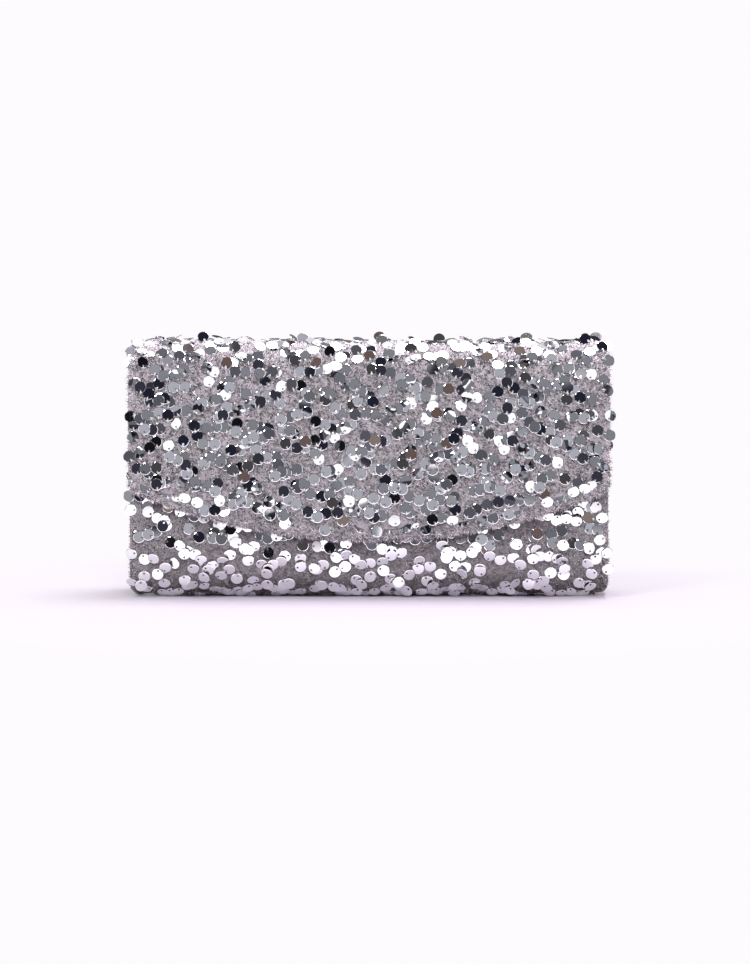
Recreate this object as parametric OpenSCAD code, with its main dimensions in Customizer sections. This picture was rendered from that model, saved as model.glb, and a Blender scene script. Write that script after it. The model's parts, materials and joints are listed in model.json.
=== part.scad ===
// Envelope clutch purse: a padded box bag of sequinned velvet, 24 x 13 x 5 cm, with a
// round-edged flap that folds over the top and closes on a magnetic snap.
// Frame: +Z up, the front faces -Y, the origin is in the middle of the footprint on the ground.

/* [Size] */
// Width of the bag, side to side
width = 240; // [200:5:280]
// Height of the closed bag
height = 128; // [115:1:150]
// Depth of the closed bag, front of the flap to the back
depth = 52; // [46:1:64]

/* [Walls] */
// Angle at which the front wall leans back
front_lean = 3; // [1:0.5:5]
// How much further forward the back wall is at the top than at the base
back_taper = 6; // [2:1:8]
// Radius of the folds along the base
base_r = 14; // [9:1:16]
// Radius of the folds along the top
top_r = 18; // [14:1:20]
// Height of the front wall's top edge
mouth_z = 112; // [100:1:114]

/* [Layers] */
// Thickness of the sequinned velvet, pile included
cover_t = 1.4; // [1:0.1:2]
// Thickness of the foam under the velvet
foam_t = 1; // [0.6:0.1:1.6]
// Thickness of the greyboard stiffeners
board_t = 1.2; // [1:0.1:1.6]
// Thickness of the satin lining with its interfacing
lining_t = 0.7; // [0.5:0.1:1]
// Width of the velvet turned in at each free edge
hem_w = 2; // [1.5:0.5:4]

/* [Flap] */
// Drop of the flap at its middle, from the top of the bag
flap_drop = 98.5; // [80:0.5:105]
// Radius of the flap's curved lower edge
flap_edge_r = 300; // [200:10:600]
// Room between the flap and the front wall, which the closed snap fills
flap_gap = 3.4; // [3.2:0.1:5]

/* [Gussets] */
// Width of each side gusset, laid flat
gusset_w = 36.5; // [32:0.5:40]

/* [Pocket] */
// Width of the slip pocket on the back lining
pocket_w = 120; // [80:5:160]
// Height of the slip pocket
pocket_h = 66; // [50:1:75]

/* [Snap] */
// Diameter of the magnetic snap
snap_d = 17; // [14:0.5:18]
// Height of the snap's centre above the ground
snap_z = 49; // [45:1:60]
// Radius of the stud's plunger
plunger_r = 2.2; // [2:0.1:2.4]
// Radius of the socket's bore
socket_bore_r = 3.1; // [3:0.1:3.5]

/* [Hidden] */

velvet = "#b3a8b0";
satin = "#b9b8c2";
foam = "#efece4";
greyboard = "#8d8478";
nickel = "#c9cacd";
ferrite = "#45464a";

arc_steps = 12;      // chords in a quarter turn of a fold
fold_gap = 0.3;      // room between two pieces that a fold joins
snap_fn = 96;

// Each layer's depth below the outer face of the velvet
foam_d = cover_t;
board_d = foam_d + foam_t;
lining_d = board_d + board_t;
wall_t = lining_d + lining_t;

// The cross-section runs in the (y, z) plane. A face is a straight line with its outward normal
// at an angle, and a fold is an arc about a centre.
front_a = 180 - front_lean;
flap_z = height - flap_drop;
flap_k = depth / 2 * cos(front_lean) + flap_z * sin(front_lean);
front_k = flap_k - wall_t - flap_gap;
base_front_c = [(base_r * sin(front_lean) + base_r - front_k) / cos(front_lean), base_r];
base_back_c = [depth / 2 - base_r, base_r];
top_z = height - top_r;
top_front_c = [(top_z * sin(front_lean) + top_r - flap_k) / cos(front_lean), top_z];
top_back_c = [depth / 2 - back_taper - top_r, top_z];
back_run = top_back_c - base_back_c;
back_a = atan2(back_run[1], back_run[0]) - acos((base_r - top_r) / norm(back_run));

// The flap turns about the outer face at these two angles, and the front wall about its foot.
hinge_a = (back_a + 90) / 2;
fold_a = (90 + front_a) / 2;
gap_a = fold_gap / top_r * 90 / PI;

// A station is a point on the outer face and the angle of the outward normal there.
function polar(c, r, a) = c + r * [cos(a), sin(a)];
function arc(c, r, a0, a1, n) =
    [for (i = [0:n]) let (a = a0 + (a1 - a0) * i / n) [polar(c, r, a), a]];
function inset(s, d) = s[0] - d * [cos(s[1]), sin(s[1])];
function band(path, d0, d1) = concat(
    [for (s = path) inset(s, d0)],
    [for (i = [len(path) - 1:-1:0]) inset(path[i], d1)]
);
function on_plane(k, z) = [[(z * sin(front_lean) - k) / cos(front_lean), z], front_a];
function up_back(s) = [
    polar(base_back_c, base_r, back_a) + s * [-sin(back_a), cos(back_a)], back_a
];

front_foot = [
    polar(base_front_c, base_r, front_a) + fold_gap * [sin(front_lean), cos(front_lean)],
    front_a
];
front_path = [on_plane(front_k, mouth_z), front_foot];
front_fill = [on_plane(front_k, mouth_z - hem_w), front_foot];
base_path = concat(
    arc(base_front_c, base_r, front_a, 270, arc_steps),
    arc(base_back_c, base_r, 270, 360 + back_a, arc_steps)
);
base_flat = [[[base_front_c[0], 0], 270], [[base_back_c[0], 0], 270]];
back_fold = arc(top_back_c, top_r, back_a, hinge_a - gap_a, arc_steps / 2);
back_path = concat([up_back(0)], back_fold);
back_straight = [up_back(0), back_fold[0]];
top_path = concat(
    arc(top_back_c, top_r, hinge_a + gap_a, 90, arc_steps / 2),
    arc(top_front_c, top_r, 90, fold_a - gap_a, arc_steps / 2)
);
flap_fold = arc(top_front_c, top_r, fold_a + gap_a, front_a, arc_steps / 2);
flap_path = concat(flap_fold, [on_plane(flap_k, flap_z - 2 * hem_w)]);
flap_straight = [flap_fold[arc_steps / 2], on_plane(flap_k, flap_z - 2 * hem_w)];

// A section in the (y, z) plane, drawn across the bag from x0 to x1
module across(x0, x1) {
    translate([x0, 0, 0]) rotate([90, 0, 90]) linear_extrude(x1 - x0) children();
}

// A layer between two depths below the outer face, between the side hems
module layer(path, d0, d1) {
    across(-width / 2 + hem_w, width / 2 - hem_w) polygon(band(path, d0, d1));
}

// Velvet over a path, turned in at both sides through the whole wall
module cover(path) {
    across(-width / 2, width / 2) polygon(band(path, 0, cover_t));
    for (side = [0, 1]) mirror([side, 0, 0])
        across(width / 2 - hem_w, width / 2) polygon(band(path, 0, wall_t));
}

// Foam fills the wall at a fold, where the board stops, and is thin over the board
module foam_layer(path, fold) {
    across(-width / 2 + hem_w, width / 2 - hem_w) {
        polygon(band(path, foam_d, board_d));
        if (len(fold) > 1) polygon(band(fold, foam_d, lining_d));
    }
}

// ---- Back wall ----

module back_panel() {
    color(velvet) cover(back_path);
}

module back_foam() {
    color(foam) foam_layer(back_path, back_fold);
}

module back_board() {
    color(greyboard) layer(back_straight, board_d, lining_d);
}

module back_lining() {
    color(satin) layer(back_path, lining_d, wall_t);
}

// ---- Base ----

module base_panel() {
    color(velvet) cover(base_path);
}

module base_foam() {
    fold_front = arc(base_front_c, base_r, front_a, 270, arc_steps);
    fold_back = arc(base_back_c, base_r, 270, 360 + back_a, arc_steps);
    color(foam) {
        foam_layer(base_path, fold_front);
        foam_layer(base_path, fold_back);
    }
}

module base_board() {
    color(greyboard) layer(base_flat, board_d, lining_d);
}

module base_lining() {
    color(satin) layer(base_path, lining_d, wall_t);
}

// ---- Side gussets ----

seam_gap = 0.15;     // between a gusset's edge and the wall that it is sewn to
gusset_in = 1;       // how far a gusset's seam is set in from the side of the bag
gusset_top = 109;
gusset_cols = 6;
gusset_rows = 7;
gusset_arc_rows = 4;

// The inner faces of the walls at a height, with the folds of the base below base_r
inner_r = base_r - wall_t - seam_gap;
back_inner = up_back(0);
function reach(z) = sqrt(max(0, inner_r * inner_r - (base_r - z) * (base_r - z)));
function y_back(z) = z < base_r ? base_back_c[0] + reach(z) :
    inset(back_inner, wall_t + seam_gap)[0] - (z - back_inner[0][1]) * tan(back_a);
function y_front(z) = z < base_r ? base_front_c[0] - reach(z) :
    on_plane(front_k - wall_t - seam_gap, z)[0][0];

// A gusset keeps its width, so where the walls come closer together it folds inwards.
function fold_depth(z) = z < base_r ? 0 :
    sqrt(max(0, pow(gusset_w / 2, 2) - pow((y_back(z) - y_front(z)) / 2, 2)));

gusset_zs = concat(
    [for (i = [0:gusset_arc_rows - 1]) base_r - inner_r * cos(90 * i / gusset_arc_rows)],
    [for (i = [0:gusset_rows]) base_r + (gusset_top - base_r) * pow(i / gusset_rows, 1.4)]
);

function gusset_point(z, u, d) = [
    width / 2 - gusset_in - d - fold_depth(z) * (1 - abs(2 * u - 1)),
    y_front(z) + (y_back(z) - y_front(z)) * u,
    z
];
function split(q) = [[q[0], q[1], q[2]], [q[0], q[2], q[3]]];

// A closed sheet between depths d0 and d1 behind the gusset's outer face
module gusset_sheet(d0, d1) {
    rows = len(gusset_zs);
    cols = gusset_cols + 1;
    points = [for (d = [d0, d1], z = gusset_zs, j = [0:gusset_cols])
        gusset_point(z, j / gusset_cols, d)];
    function at(side, i, j) = side * rows * cols + i * cols + j;
    outer_quads = [for (i = [0:rows - 2], j = [0:cols - 2])
        [at(0, i, j), at(0, i + 1, j), at(0, i + 1, j + 1), at(0, i, j + 1)]];
    inner_quads = [for (i = [0:rows - 2], j = [0:cols - 2])
        [at(1, i, j), at(1, i, j + 1), at(1, i + 1, j + 1), at(1, i + 1, j)]];
    low_quads = [for (j = [0:cols - 2])
        [at(0, 0, j), at(0, 0, j + 1), at(1, 0, j + 1), at(1, 0, j)]];
    high_quads = [for (j = [0:cols - 2])
        [at(0, rows - 1, j + 1), at(0, rows - 1, j), at(1, rows - 1, j), at(1, rows - 1, j + 1)]];
    front_quads = [for (i = [0:rows - 2])
        [at(0, i + 1, 0), at(0, i, 0), at(1, i, 0), at(1, i + 1, 0)]];
    back_quads = [for (i = [0:rows - 2])
        [at(0, i, cols - 1), at(0, i + 1, cols - 1), at(1, i + 1, cols - 1), at(1, i, cols - 1)]];
    quads = concat(outer_quads, inner_quads, low_quads, high_quads, front_quads, back_quads);
    polyhedron(points, [for (q = quads) each split(q)]);
}

module gusset_right() {
    color(velvet) gusset_sheet(0, cover_t);
}

module gusset_left() {
    mirror([1, 0, 0]) gusset_right();
}

module gusset_lining_right() {
    color(satin) gusset_sheet(cover_t, cover_t + lining_t);
}

module gusset_lining_left() {
    mirror([1, 0, 0]) gusset_lining_right();
}

// ---- Slip pocket on the back lining ----

pocket_s = 26;       // up the back wall to the pocket's lower edge
pocket_room = 1;     // thickness of the flat pocket's space
pocket_t = 0.6;
seam_w = 2;
hem_h = 9;

function strip(s0, s1, d0, d1) = band([up_back(s0), up_back(s1)], d0, d1);

module slip_pocket() {
    color(satin) across(-pocket_w / 2, pocket_w / 2)
        polygon(strip(pocket_s, pocket_s + pocket_h,
            wall_t + pocket_room, wall_t + pocket_room + pocket_t));
}

module pocket_seams() {
    color(satin) {
        across(-pocket_w / 2, pocket_w / 2)
            polygon(strip(pocket_s, pocket_s + seam_w, wall_t, wall_t + pocket_room));
        for (side = [0, 1]) mirror([side, 0, 0])
            across(pocket_w / 2 - seam_w, pocket_w / 2)
                polygon(strip(pocket_s + seam_w, pocket_s + pocket_h,
                    wall_t, wall_t + pocket_room));
    }
}

module pocket_hem() {
    face = wall_t + pocket_room + pocket_t;
    color(satin) across(-pocket_w / 2, pocket_w / 2)
        polygon(strip(pocket_s + pocket_h - hem_h, pocket_s + pocket_h, face, face + pocket_t));
}

// ---- Magnetic snap ----
// In its own frame the snap's axis is +Z, away from the bag, and z = 0 is the front wall's face.

plate_t = 0.4;       // sheet of the plates, legs and washers
socket_h = 2.2;
stud_plate_t = 0.8;
plunger_h = 1.4;
leg_x = 4.5;         // from the axis to each leg
leg_w = 3;
tab_l = 3;           // length of each leg that is bent over the washer
washer_d = snap_d - 1;
recess_t = 2 * plate_t;
slot_room = 0.1;

module at_snap() {
    spot = on_plane(front_k, snap_z)[0];
    translate([0, spot[0], spot[1]]) rotate([90 - front_lean, 0, 0]) children();
}

module slab(x0, x1, w, z0, z1) {
    translate([x0, -w / 2, z0]) cube([x1 - x0, w, z1 - z0]);
}

// The two slots that the legs pass through, between two heights
module leg_slots(z0, z1) {
    half = plate_t / 2 + slot_room;
    for (side = [-1, 1])
        slab(side * leg_x - half, side * leg_x + half, leg_w + 2 * slot_room, z0, z1);
}

// Two legs from z0, bent outwards into tabs that end at z1
module legs(z0, z1) {
    low = min(z0, z1);
    tab_z = z1 > z0 ? z1 - plate_t : z1;
    for (side = [0, 1]) mirror([side, 0, 0]) {
        slab(leg_x - plate_t / 2, leg_x + plate_t / 2, leg_w, low, max(z0, z1));
        slab(leg_x - plate_t / 2, leg_x + tab_l, leg_w, tab_z, tab_z + plate_t);
    }
}

module washer(z) {
    difference() {
        translate([0, 0, z]) cylinder(d = washer_d, h = plate_t, $fn = snap_fn);
        leg_slots(z - 1, z + plate_t + 1);
    }
}

module recess(z) {
    translate([0, 0, z]) cylinder(d = washer_d + 0.6, h = recess_t, $fn = snap_fn);
}

module snap_socket_cap() {
    color(nickel) at_snap() difference() {
        cylinder(d = snap_d, h = socket_h, $fn = snap_fn);
        translate([0, 0, -1]) cylinder(d = snap_d - 1, h = 1 + socket_h - plate_t, $fn = snap_fn);
        cylinder(r = socket_bore_r, h = 3 * socket_h, center = true, $fn = snap_fn);
    }
}

module snap_socket_magnet() {
    color(ferrite) at_snap() translate([0, 0, plate_t]) difference() {
        cylinder(d = snap_d - 1.2, h = socket_h - 2 * plate_t, $fn = snap_fn);
        cylinder(r = socket_bore_r + 0.5, h = 3 * socket_h, center = true, $fn = snap_fn);
    }
}

module snap_socket_legs() {
    color(nickel) at_snap() {
        cylinder(d = snap_d - 1.2, h = plate_t, $fn = snap_fn);
        legs(plate_t, -lining_d);
    }
}

module snap_socket_washer() {
    color(nickel) at_snap() washer(plate_t - lining_d);
}

stud_base = flap_gap;
stud_tabs_end = flap_gap + lining_t + board_t;

module snap_stud() {
    color(nickel) at_snap() {
        translate([0, 0, stud_base - stud_plate_t]) cylinder(d = snap_d, h = stud_plate_t, $fn = snap_fn);
        translate([0, 0, stud_base - stud_plate_t - plunger_h])
            cylinder(r = plunger_r, h = plunger_h, $fn = snap_fn);
        legs(stud_base - plate_t, stud_tabs_end);
    }
}

module snap_stud_washer() {
    color(nickel) at_snap() washer(stud_tabs_end - recess_t);
}

// ---- Front wall ----

module front_panel() {
    color(velvet) difference() {
        union() {
            cover(front_path);
            across(-width / 2, width / 2)
                polygon(band([front_path[0], front_fill[0]], 0, wall_t));
        }
        at_snap() leg_slots(-board_d, 1);
    }
}

module front_foam() {
    color(foam) difference() {
        layer(front_fill, foam_d, board_d);
        at_snap() leg_slots(-lining_d, 0);
    }
}

module front_board() {
    color(greyboard) difference() {
        layer(front_fill, board_d, lining_d);
        at_snap() {
            leg_slots(-lining_d, 0);
            recess(-lining_d);
        }
    }
}

module front_lining() {
    color(satin) layer(front_fill, lining_d, wall_t);
}

// ---- Flap ----

module flap_top_cover() {
    color(velvet) cover(top_path);
}

module flap_top_foam() {
    color(foam) layer(top_path, foam_d, lining_d);
}

module flap_top_lining() {
    color(satin) layer(top_path, lining_d, wall_t);
}

// The flap's outline seen from the front, set in from its edge
module flap_outline(edge) {
    intersection() {
        translate([0, 0, flap_z + flap_edge_r]) rotate([90, 0, 0])
            cylinder(r = flap_edge_r - edge, h = 4 * depth, center = true, $fn = 256);
        translate([edge - width / 2, -2 * depth, 0]) cube([width - 2 * edge, 4 * depth, 2 * height]);
    }
}

// A layer of the flap between two depths, up to the edge's hem
module flap_layer(path, d0, d1) {
    intersection() {
        across(-width / 2, width / 2) polygon(band(path, d0, d1));
        flap_outline(hem_w);
    }
}

module flap_cover() {
    color(velvet) {
        intersection() {
            across(-width / 2, width / 2) polygon(band(flap_path, 0, cover_t));
            flap_outline(0);
        }
        intersection() {
            across(-width / 2, width / 2) polygon(band(flap_path, 0, wall_t));
            difference() {
                flap_outline(0);
                flap_outline(hem_w);
            }
        }
    }
}

module flap_foam() {
    color(foam) {
        flap_layer(flap_path, foam_d, board_d);
        flap_layer(flap_fold, board_d, lining_d);
    }
}

module flap_board() {
    color(greyboard) difference() {
        flap_layer(flap_straight, board_d, lining_d);
        at_snap() {
            leg_slots(flap_gap, 2 * flap_gap);
            recess(stud_tabs_end - recess_t);
        }
    }
}

module flap_lining() {
    color(satin) difference() {
        flap_layer(flap_path, lining_d, wall_t);
        at_snap() leg_slots(flap_gap - 1, 2 * flap_gap);
    }
}

back_panel();
back_foam();
back_board();
back_lining();
base_panel();
base_foam();
base_board();
base_lining();
gusset_left();
gusset_right();
gusset_lining_left();
gusset_lining_right();
slip_pocket();
pocket_seams();
pocket_hem();
front_panel();
front_foam();
front_board();
front_lining();
snap_socket_cap();
snap_socket_magnet();
snap_socket_legs();
snap_socket_washer();
flap_top_cover();
flap_top_foam();
flap_top_lining();
flap_cover();
flap_foam();
flap_board();
flap_lining();
snap_stud();
snap_stud_washer();
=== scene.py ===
import json
import math

import bpy
import numpy as np
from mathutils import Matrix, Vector
from mathutils.geometry import delaunay_2d_cdt


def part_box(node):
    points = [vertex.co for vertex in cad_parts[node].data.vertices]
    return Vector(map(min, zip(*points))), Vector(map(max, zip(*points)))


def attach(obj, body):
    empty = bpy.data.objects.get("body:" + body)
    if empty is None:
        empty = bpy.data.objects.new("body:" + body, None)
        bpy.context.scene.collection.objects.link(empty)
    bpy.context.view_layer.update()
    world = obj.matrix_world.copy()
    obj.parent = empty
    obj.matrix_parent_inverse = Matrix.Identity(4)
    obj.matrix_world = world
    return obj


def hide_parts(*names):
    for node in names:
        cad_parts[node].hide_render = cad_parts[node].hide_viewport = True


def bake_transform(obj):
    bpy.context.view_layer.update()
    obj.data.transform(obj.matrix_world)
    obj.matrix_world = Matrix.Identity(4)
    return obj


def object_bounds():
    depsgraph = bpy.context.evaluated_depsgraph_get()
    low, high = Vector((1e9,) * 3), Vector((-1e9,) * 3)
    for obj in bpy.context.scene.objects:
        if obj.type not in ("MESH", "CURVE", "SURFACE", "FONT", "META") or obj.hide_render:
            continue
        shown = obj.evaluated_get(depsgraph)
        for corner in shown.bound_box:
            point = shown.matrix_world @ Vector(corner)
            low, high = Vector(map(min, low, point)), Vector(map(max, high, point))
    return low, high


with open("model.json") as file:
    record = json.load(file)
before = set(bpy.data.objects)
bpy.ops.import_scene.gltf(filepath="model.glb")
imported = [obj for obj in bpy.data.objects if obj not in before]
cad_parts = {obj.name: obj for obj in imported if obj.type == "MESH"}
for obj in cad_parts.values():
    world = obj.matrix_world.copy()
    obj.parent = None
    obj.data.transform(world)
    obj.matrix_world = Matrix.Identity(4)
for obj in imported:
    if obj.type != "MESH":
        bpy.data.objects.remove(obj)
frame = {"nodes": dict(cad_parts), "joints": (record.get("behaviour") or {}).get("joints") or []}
cad_low, cad_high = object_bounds()

# Sizes, in millimetres. The frame gives the bag's own, and the rest are the layers' and folds'.
MM = 0.001
WIDTH = (cad_high.x - cad_low.x) / MM
HEIGHT = cad_high.z / MM
BACK_Y = cad_high.y / MM
FLAP_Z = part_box("flap_cover")[0].z / MM
MOUTH_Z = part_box("front_lining")[1].z / MM + 2

LEAN = math.radians(3)          # the front wall and the flap lean back
BACK_TAPER = 6                  # the back wall leans forward by this much at the top
BASE_R = 14                     # folds along the base
TOP_R = 18                      # folds along the top
WALL = 4.3                      # velvet, foam, board and lining
FLAP_GAP = 3.4                  # between the flap and the front wall
FLAP_EDGE_R = 300               # the flap's curved lower edge

LAYER_GAP = 0.06                # between one layer and the next
VELVET_T = 1.2
TRAY_T = 3.6                    # velvet, foam and board, without the lining
BOARD_OUT = 2.4                 # depth of the board's outer face
HEM_W = 4.5                     # velvet turned in at a free edge
LINING_IN = HEM_W - 0.9         # the lining covers the velvet's edge by that much
CORNER_R = 5                    # corners of the flap and of the front wall
BASE_CORNER_R = 8               # lower corners of the bag, seen from the front
TOP_CORNER_R = 1.2              # upper corners of the bag, seen from the front
BASE_LIFT = 1.15                # the base stands on its sequins and its pile

SEQUIN_R = 3.0
SEQUIN_HOLE_R = 0.58
SEQUIN_HOLE_AT = 1.75           # from the disc's centre to its hole
SEQUIN_BEVEL = 0.24             # width of the pressed rim
SEQUIN_SHARP = 11               # degrees, so that the rim's edge stays sharp
SEQUIN_T = 0.11
SEQUIN_SIDES = 24
HOLE_SIDES = 8
CHAINS = {                      # sewn on in wavy chains: between chains, and along one
    "flap": (7.1, 4.5), "front": (7.4, 4.5), "back": (7.8, 4.8),
}
CHAIN_WAVE = 3.4                # how far a chain swings to either side
CHAIN_WAVE_LENGTH = (18, 36)
CHAIN_SCATTER = (0.9, 1.1)      # across the bag, and along its section
SEQUINS_LOST = 0.06             # share of them that have come off
CURVED_SHARE, BENT_SHARE = 0.17, 0.06          # the bent ones are some of the curved ones
CURVES = (0.06, 0.2)            # how deep the curved ones are
OPEN_ROOM = 9.0                 # height that is free for sequins where nothing lies over them
SNAP_X, SNAP_Z = 0, 49
# Velvet that the chains leave bare, from its sides, its free edges, the hinge and the snap.
SIDE_CLEAR, MOUTH_CLEAR, FLAP_CLEAR, HINGE_CLEAR, SNAP_CLEAR = 0.9, 4, 3.4, 2.5, 12.5

rng = np.random.default_rng(52)


# The bag's outline, as one path round its section: down the front wall from the mouth, under the
# base, up the back, over the top and down the flap. A place on it is an arc length.
PATH_STEPS = 60                 # samples on each straight and each arc


def polar(centre, radius, angle):
    return np.array(centre) + radius * np.array([math.cos(angle), math.sin(angle)])


def section_path():
    """Dense samples (length, y, z, angle of the outward normal) and the lengths at its corners."""
    sin, cos = math.sin(LEAN), math.cos(LEAN)
    front_a = math.pi - LEAN
    flap_k = BACK_Y * cos + FLAP_Z * sin
    front_k = flap_k - WALL - FLAP_GAP
    top_z = HEIGHT - TOP_R
    base_front = [(BASE_R * sin + BASE_R - front_k) / cos, BASE_R]
    base_back = [BACK_Y - BASE_R, BASE_R]
    top_front = [(top_z * sin + TOP_R - flap_k) / cos, top_z]
    top_back = [BACK_Y - BACK_TAPER - TOP_R, top_z]
    run = np.subtract(top_back, base_back)
    back_a = math.atan2(run[1], run[0]) - math.acos((BASE_R - TOP_R) / np.hypot(*run))
    mouth = [(MOUTH_Z * sin - front_k) / cos, MOUTH_Z]
    flap_end = [(FLAP_Z * sin - flap_k) / cos, FLAP_Z]
    turn = 2 * math.pi
    down_a, up_a = 0.75 * turn, 1.25 * turn
    hinge_a = turn + (back_a + turn / 4) / 2
    fold_a = turn + (turn / 4 + front_a) / 2
    pieces = [
        ("foot", mouth, polar(base_front, BASE_R, front_a), front_a),
        ("base_front", base_front, BASE_R, front_a, down_a),
        ("base_back", [base_front[0], 0], [base_back[0], 0], down_a),
        ("back_foot", base_back, BASE_R, down_a, turn + back_a),
        ("back_top", polar(base_back, BASE_R, back_a), polar(top_back, TOP_R, back_a), turn + back_a),
        ("hinge", top_back, TOP_R, turn + back_a, hinge_a),
        ("top_back", top_back, TOP_R, hinge_a, up_a),
        ("top_front", [top_back[0], HEIGHT], [top_front[0], HEIGHT], up_a),
        ("fold", top_front, TOP_R, up_a, fold_a),
        ("flap", top_front, TOP_R, fold_a, turn + front_a),
        ("end", polar(top_front, TOP_R, front_a), flap_end, turn + front_a),
    ]
    rows, marks, total = [], {"mouth": 0.0}, 0.0
    for name, *piece in pieces:
        for i in range(PATH_STEPS + 1):
            t = i / PATH_STEPS
            if len(piece) == 4:
                centre, radius, a0, a1 = piece
                angle = a0 + (a1 - a0) * t
                point, length = polar(centre, radius, angle), radius * abs(a1 - a0)
            else:
                start, stop, angle = piece
                point = np.array(start) * (1 - t) + np.array(stop) * t
                length = float(np.hypot(*np.subtract(stop, start)))
            if i or not rows:
                rows.append([total + length * t, *point, angle])
        total += length
        marks[name] = total
    return np.array(rows), marks


PATH, AT = section_path()
APEX = (AT["top_back"] + AT["top_front"]) / 2
BASE_MID = (AT["base_front"] + AT["base_back"]) / 2


def on_path(s):
    """(y, z, outward y, outward z) at a length along the section."""
    y = np.interp(s, PATH[:, 0], PATH[:, 1])
    z = np.interp(s, PATH[:, 0], PATH[:, 2])
    angle = np.interp(s, PATH[:, 0], PATH[:, 3])
    return y, z, np.cos(angle), np.sin(angle)


def smooth(t):
    t = np.clip(t, 0, 1)
    return t * t * (3 - 2 * t)


def bump(x, centre, width):
    return np.exp(-(((x - centre) / width) ** 2))


def corner_cut(distance, radius):
    """How far a rounded corner of that radius cuts in, at a distance from its straight side."""
    reach = np.clip(radius - distance, 0, radius)
    return radius - np.sqrt(np.maximum(radius**2 - reach**2, 0))


def half_width(s):
    z = on_path(s)[1]
    low = corner_cut(z + BOARD_OUT, BASE_CORNER_R)
    high = np.where(s > AT["back_foot"], corner_cut(HEIGHT - z, TOP_CORNER_R), 0)
    return WIDTH / 2 - low - high


def mouth_s(x):
    return AT["mouth"] + corner_cut(WIDTH / 2 - np.abs(x), CORNER_R)


def span_of(start, stop):
    """The lengths that a panel runs between, out to the middle of its free edges."""
    return AT["mouth"] if callable(start) else start, AT["end"] if callable(stop) else stop


def flap_s(x):
    """Where the flap's curved edge lies."""
    rise = FLAP_EDGE_R - np.sqrt(FLAP_EDGE_R**2 - np.minimum(np.abs(x), WIDTH / 2) ** 2)
    return AT["end"] - rise / math.cos(LEAN) - corner_cut(WIDTH / 2 - np.abs(x), CORNER_R)


WAVES = [                       # radians to a millimetre across and along the bag, and the phase
    (0.021, 0.034, 0.4), (0.047, -0.026, 2.1), (0.083, 0.061, 4.0), (0.128, -0.09, 1.2),
    (0.19, 0.15, 5.1),
]


def ripple(x, s):
    """Gentle unevenness of soft padding, about 1 at most."""
    total = 0
    for i, (kx, ks, phase) in enumerate(WAVES):
        total = total + np.sin(kx * x + ks * s + phase) * 0.42 / (1 + 0.45 * i)
    return total


def base_share(s):
    """1 on the base, where the cloth is thin and pressed up by what it stands on, and 0 on walls."""
    return smooth((s - AT["foot"]) / 12) * smooth((AT["back_foot"] - s) / 12)


def cloth_t(s):
    return VELVET_T - 0.55 * base_share(s)


def free_gap(x, s):
    """Distance to the nearest free edge of the panel that a place lies on."""
    gap = half_width(s) - np.abs(x)
    gap = np.where(s < AT["foot"], np.minimum(gap, s - mouth_s(x)), gap)
    gap = np.where(s > AT["flap"], np.minimum(gap, flap_s(x) - s), gap)
    return np.maximum(gap, 0)


def swell(x, s):
    """How far the padding stands out from the flat board, in millimetres."""
    z = on_path(s)[1]
    gap = free_gap(x, s)
    front = (s < AT["foot"]) * smooth((38 - z) / 12) * 1.5 * smooth((AT["foot"] - s) / 9)
    back_t = np.clip((s - AT["back_foot"]) / (AT["back_top"] - AT["back_foot"]), 0, 1)
    back = 1.7 * np.sin(math.pi * back_t)
    over = 1.3 * smooth((s - AT["fold"]) / 30)
    loose = 0.55 * ripple(x, s) * smooth(np.abs(s - AT["hinge"]) / 6) + 0.15
    base = base_share(s)
    wave = 1.0 * bump(x, 57, 13) + 1.2 * smooth((x - 92) / 30) + 0.5 * bump(x, -66, 16)
    fold = bump(s, AT["base_front"] - 10, 7) * wave
    edge = flap_s(x) - s
    hem = (s > AT["flap"]) * (0.5 * bump(edge, 2.2, 1.9) - 0.75 * bump(edge, 5.6, 1.1))
    padding = (front + back + over + loose) * (1 - base)
    return padding * smooth(gap / 9) + hem * smooth(gap / 1.5) - BASE_LIFT * base - fold


def skin(x, s, depth=0.0, swollen=1.0):
    """Points at a depth below the velvet's outer face."""
    y, z, ny, nz = on_path(s)
    out = swell(x, s) * swollen - depth
    return np.stack([x + 0 * y, y + out * ny, z + out * nz], axis=-1)


def unit(v):
    return v / np.linalg.norm(v, axis=-1, keepdims=True)


def skin_normal(x, s):
    step = 0.4
    along = skin(x, s + step) - skin(x, s - step)
    across = skin(x + step, s) - skin(x - step, s)
    normal = unit(np.cross(along, across))
    _, _, ny, nz = on_path(s)
    outward = normal[..., 1] * ny + normal[..., 2] * nz
    return normal * np.sign(outward)[..., None]


# Meshes
def make_object(name, points, faces, material, sharp=50):
    """A mesh object from points in millimetres. Faces are arrays of equal-sided polygons.
    Edges that turn by more than the angle sharp stay sharp, or none does if it is 0."""
    groups = [np.asarray(f) for f in faces if len(f)]
    loops = np.concatenate([g.ravel() for g in groups])
    sizes = np.concatenate([np.full(len(g), g.shape[1]) for g in groups])
    mesh = bpy.data.meshes.new(name)
    mesh.vertices.add(len(points))
    mesh.vertices.foreach_set("co", (np.asarray(points) * MM).astype(np.float32).ravel())
    mesh.loops.add(len(loops))
    mesh.loops.foreach_set("vertex_index", loops.astype(np.int32))
    mesh.polygons.add(len(sizes))
    starts = np.concatenate([[0], np.cumsum(sizes)[:-1]])
    mesh.polygons.foreach_set("loop_start", starts.astype(np.int32))
    mesh.polygons.foreach_set("use_smooth", np.ones(len(sizes), bool))
    mesh.update(calc_edges=True)
    mesh.validate()
    if sharp:
        mesh.set_sharp_from_angle(angle=math.radians(sharp))
    obj = bpy.data.objects.new(name, mesh)
    bpy.context.scene.collection.objects.link(obj)
    mesh.materials.append(material)
    return obj


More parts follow.
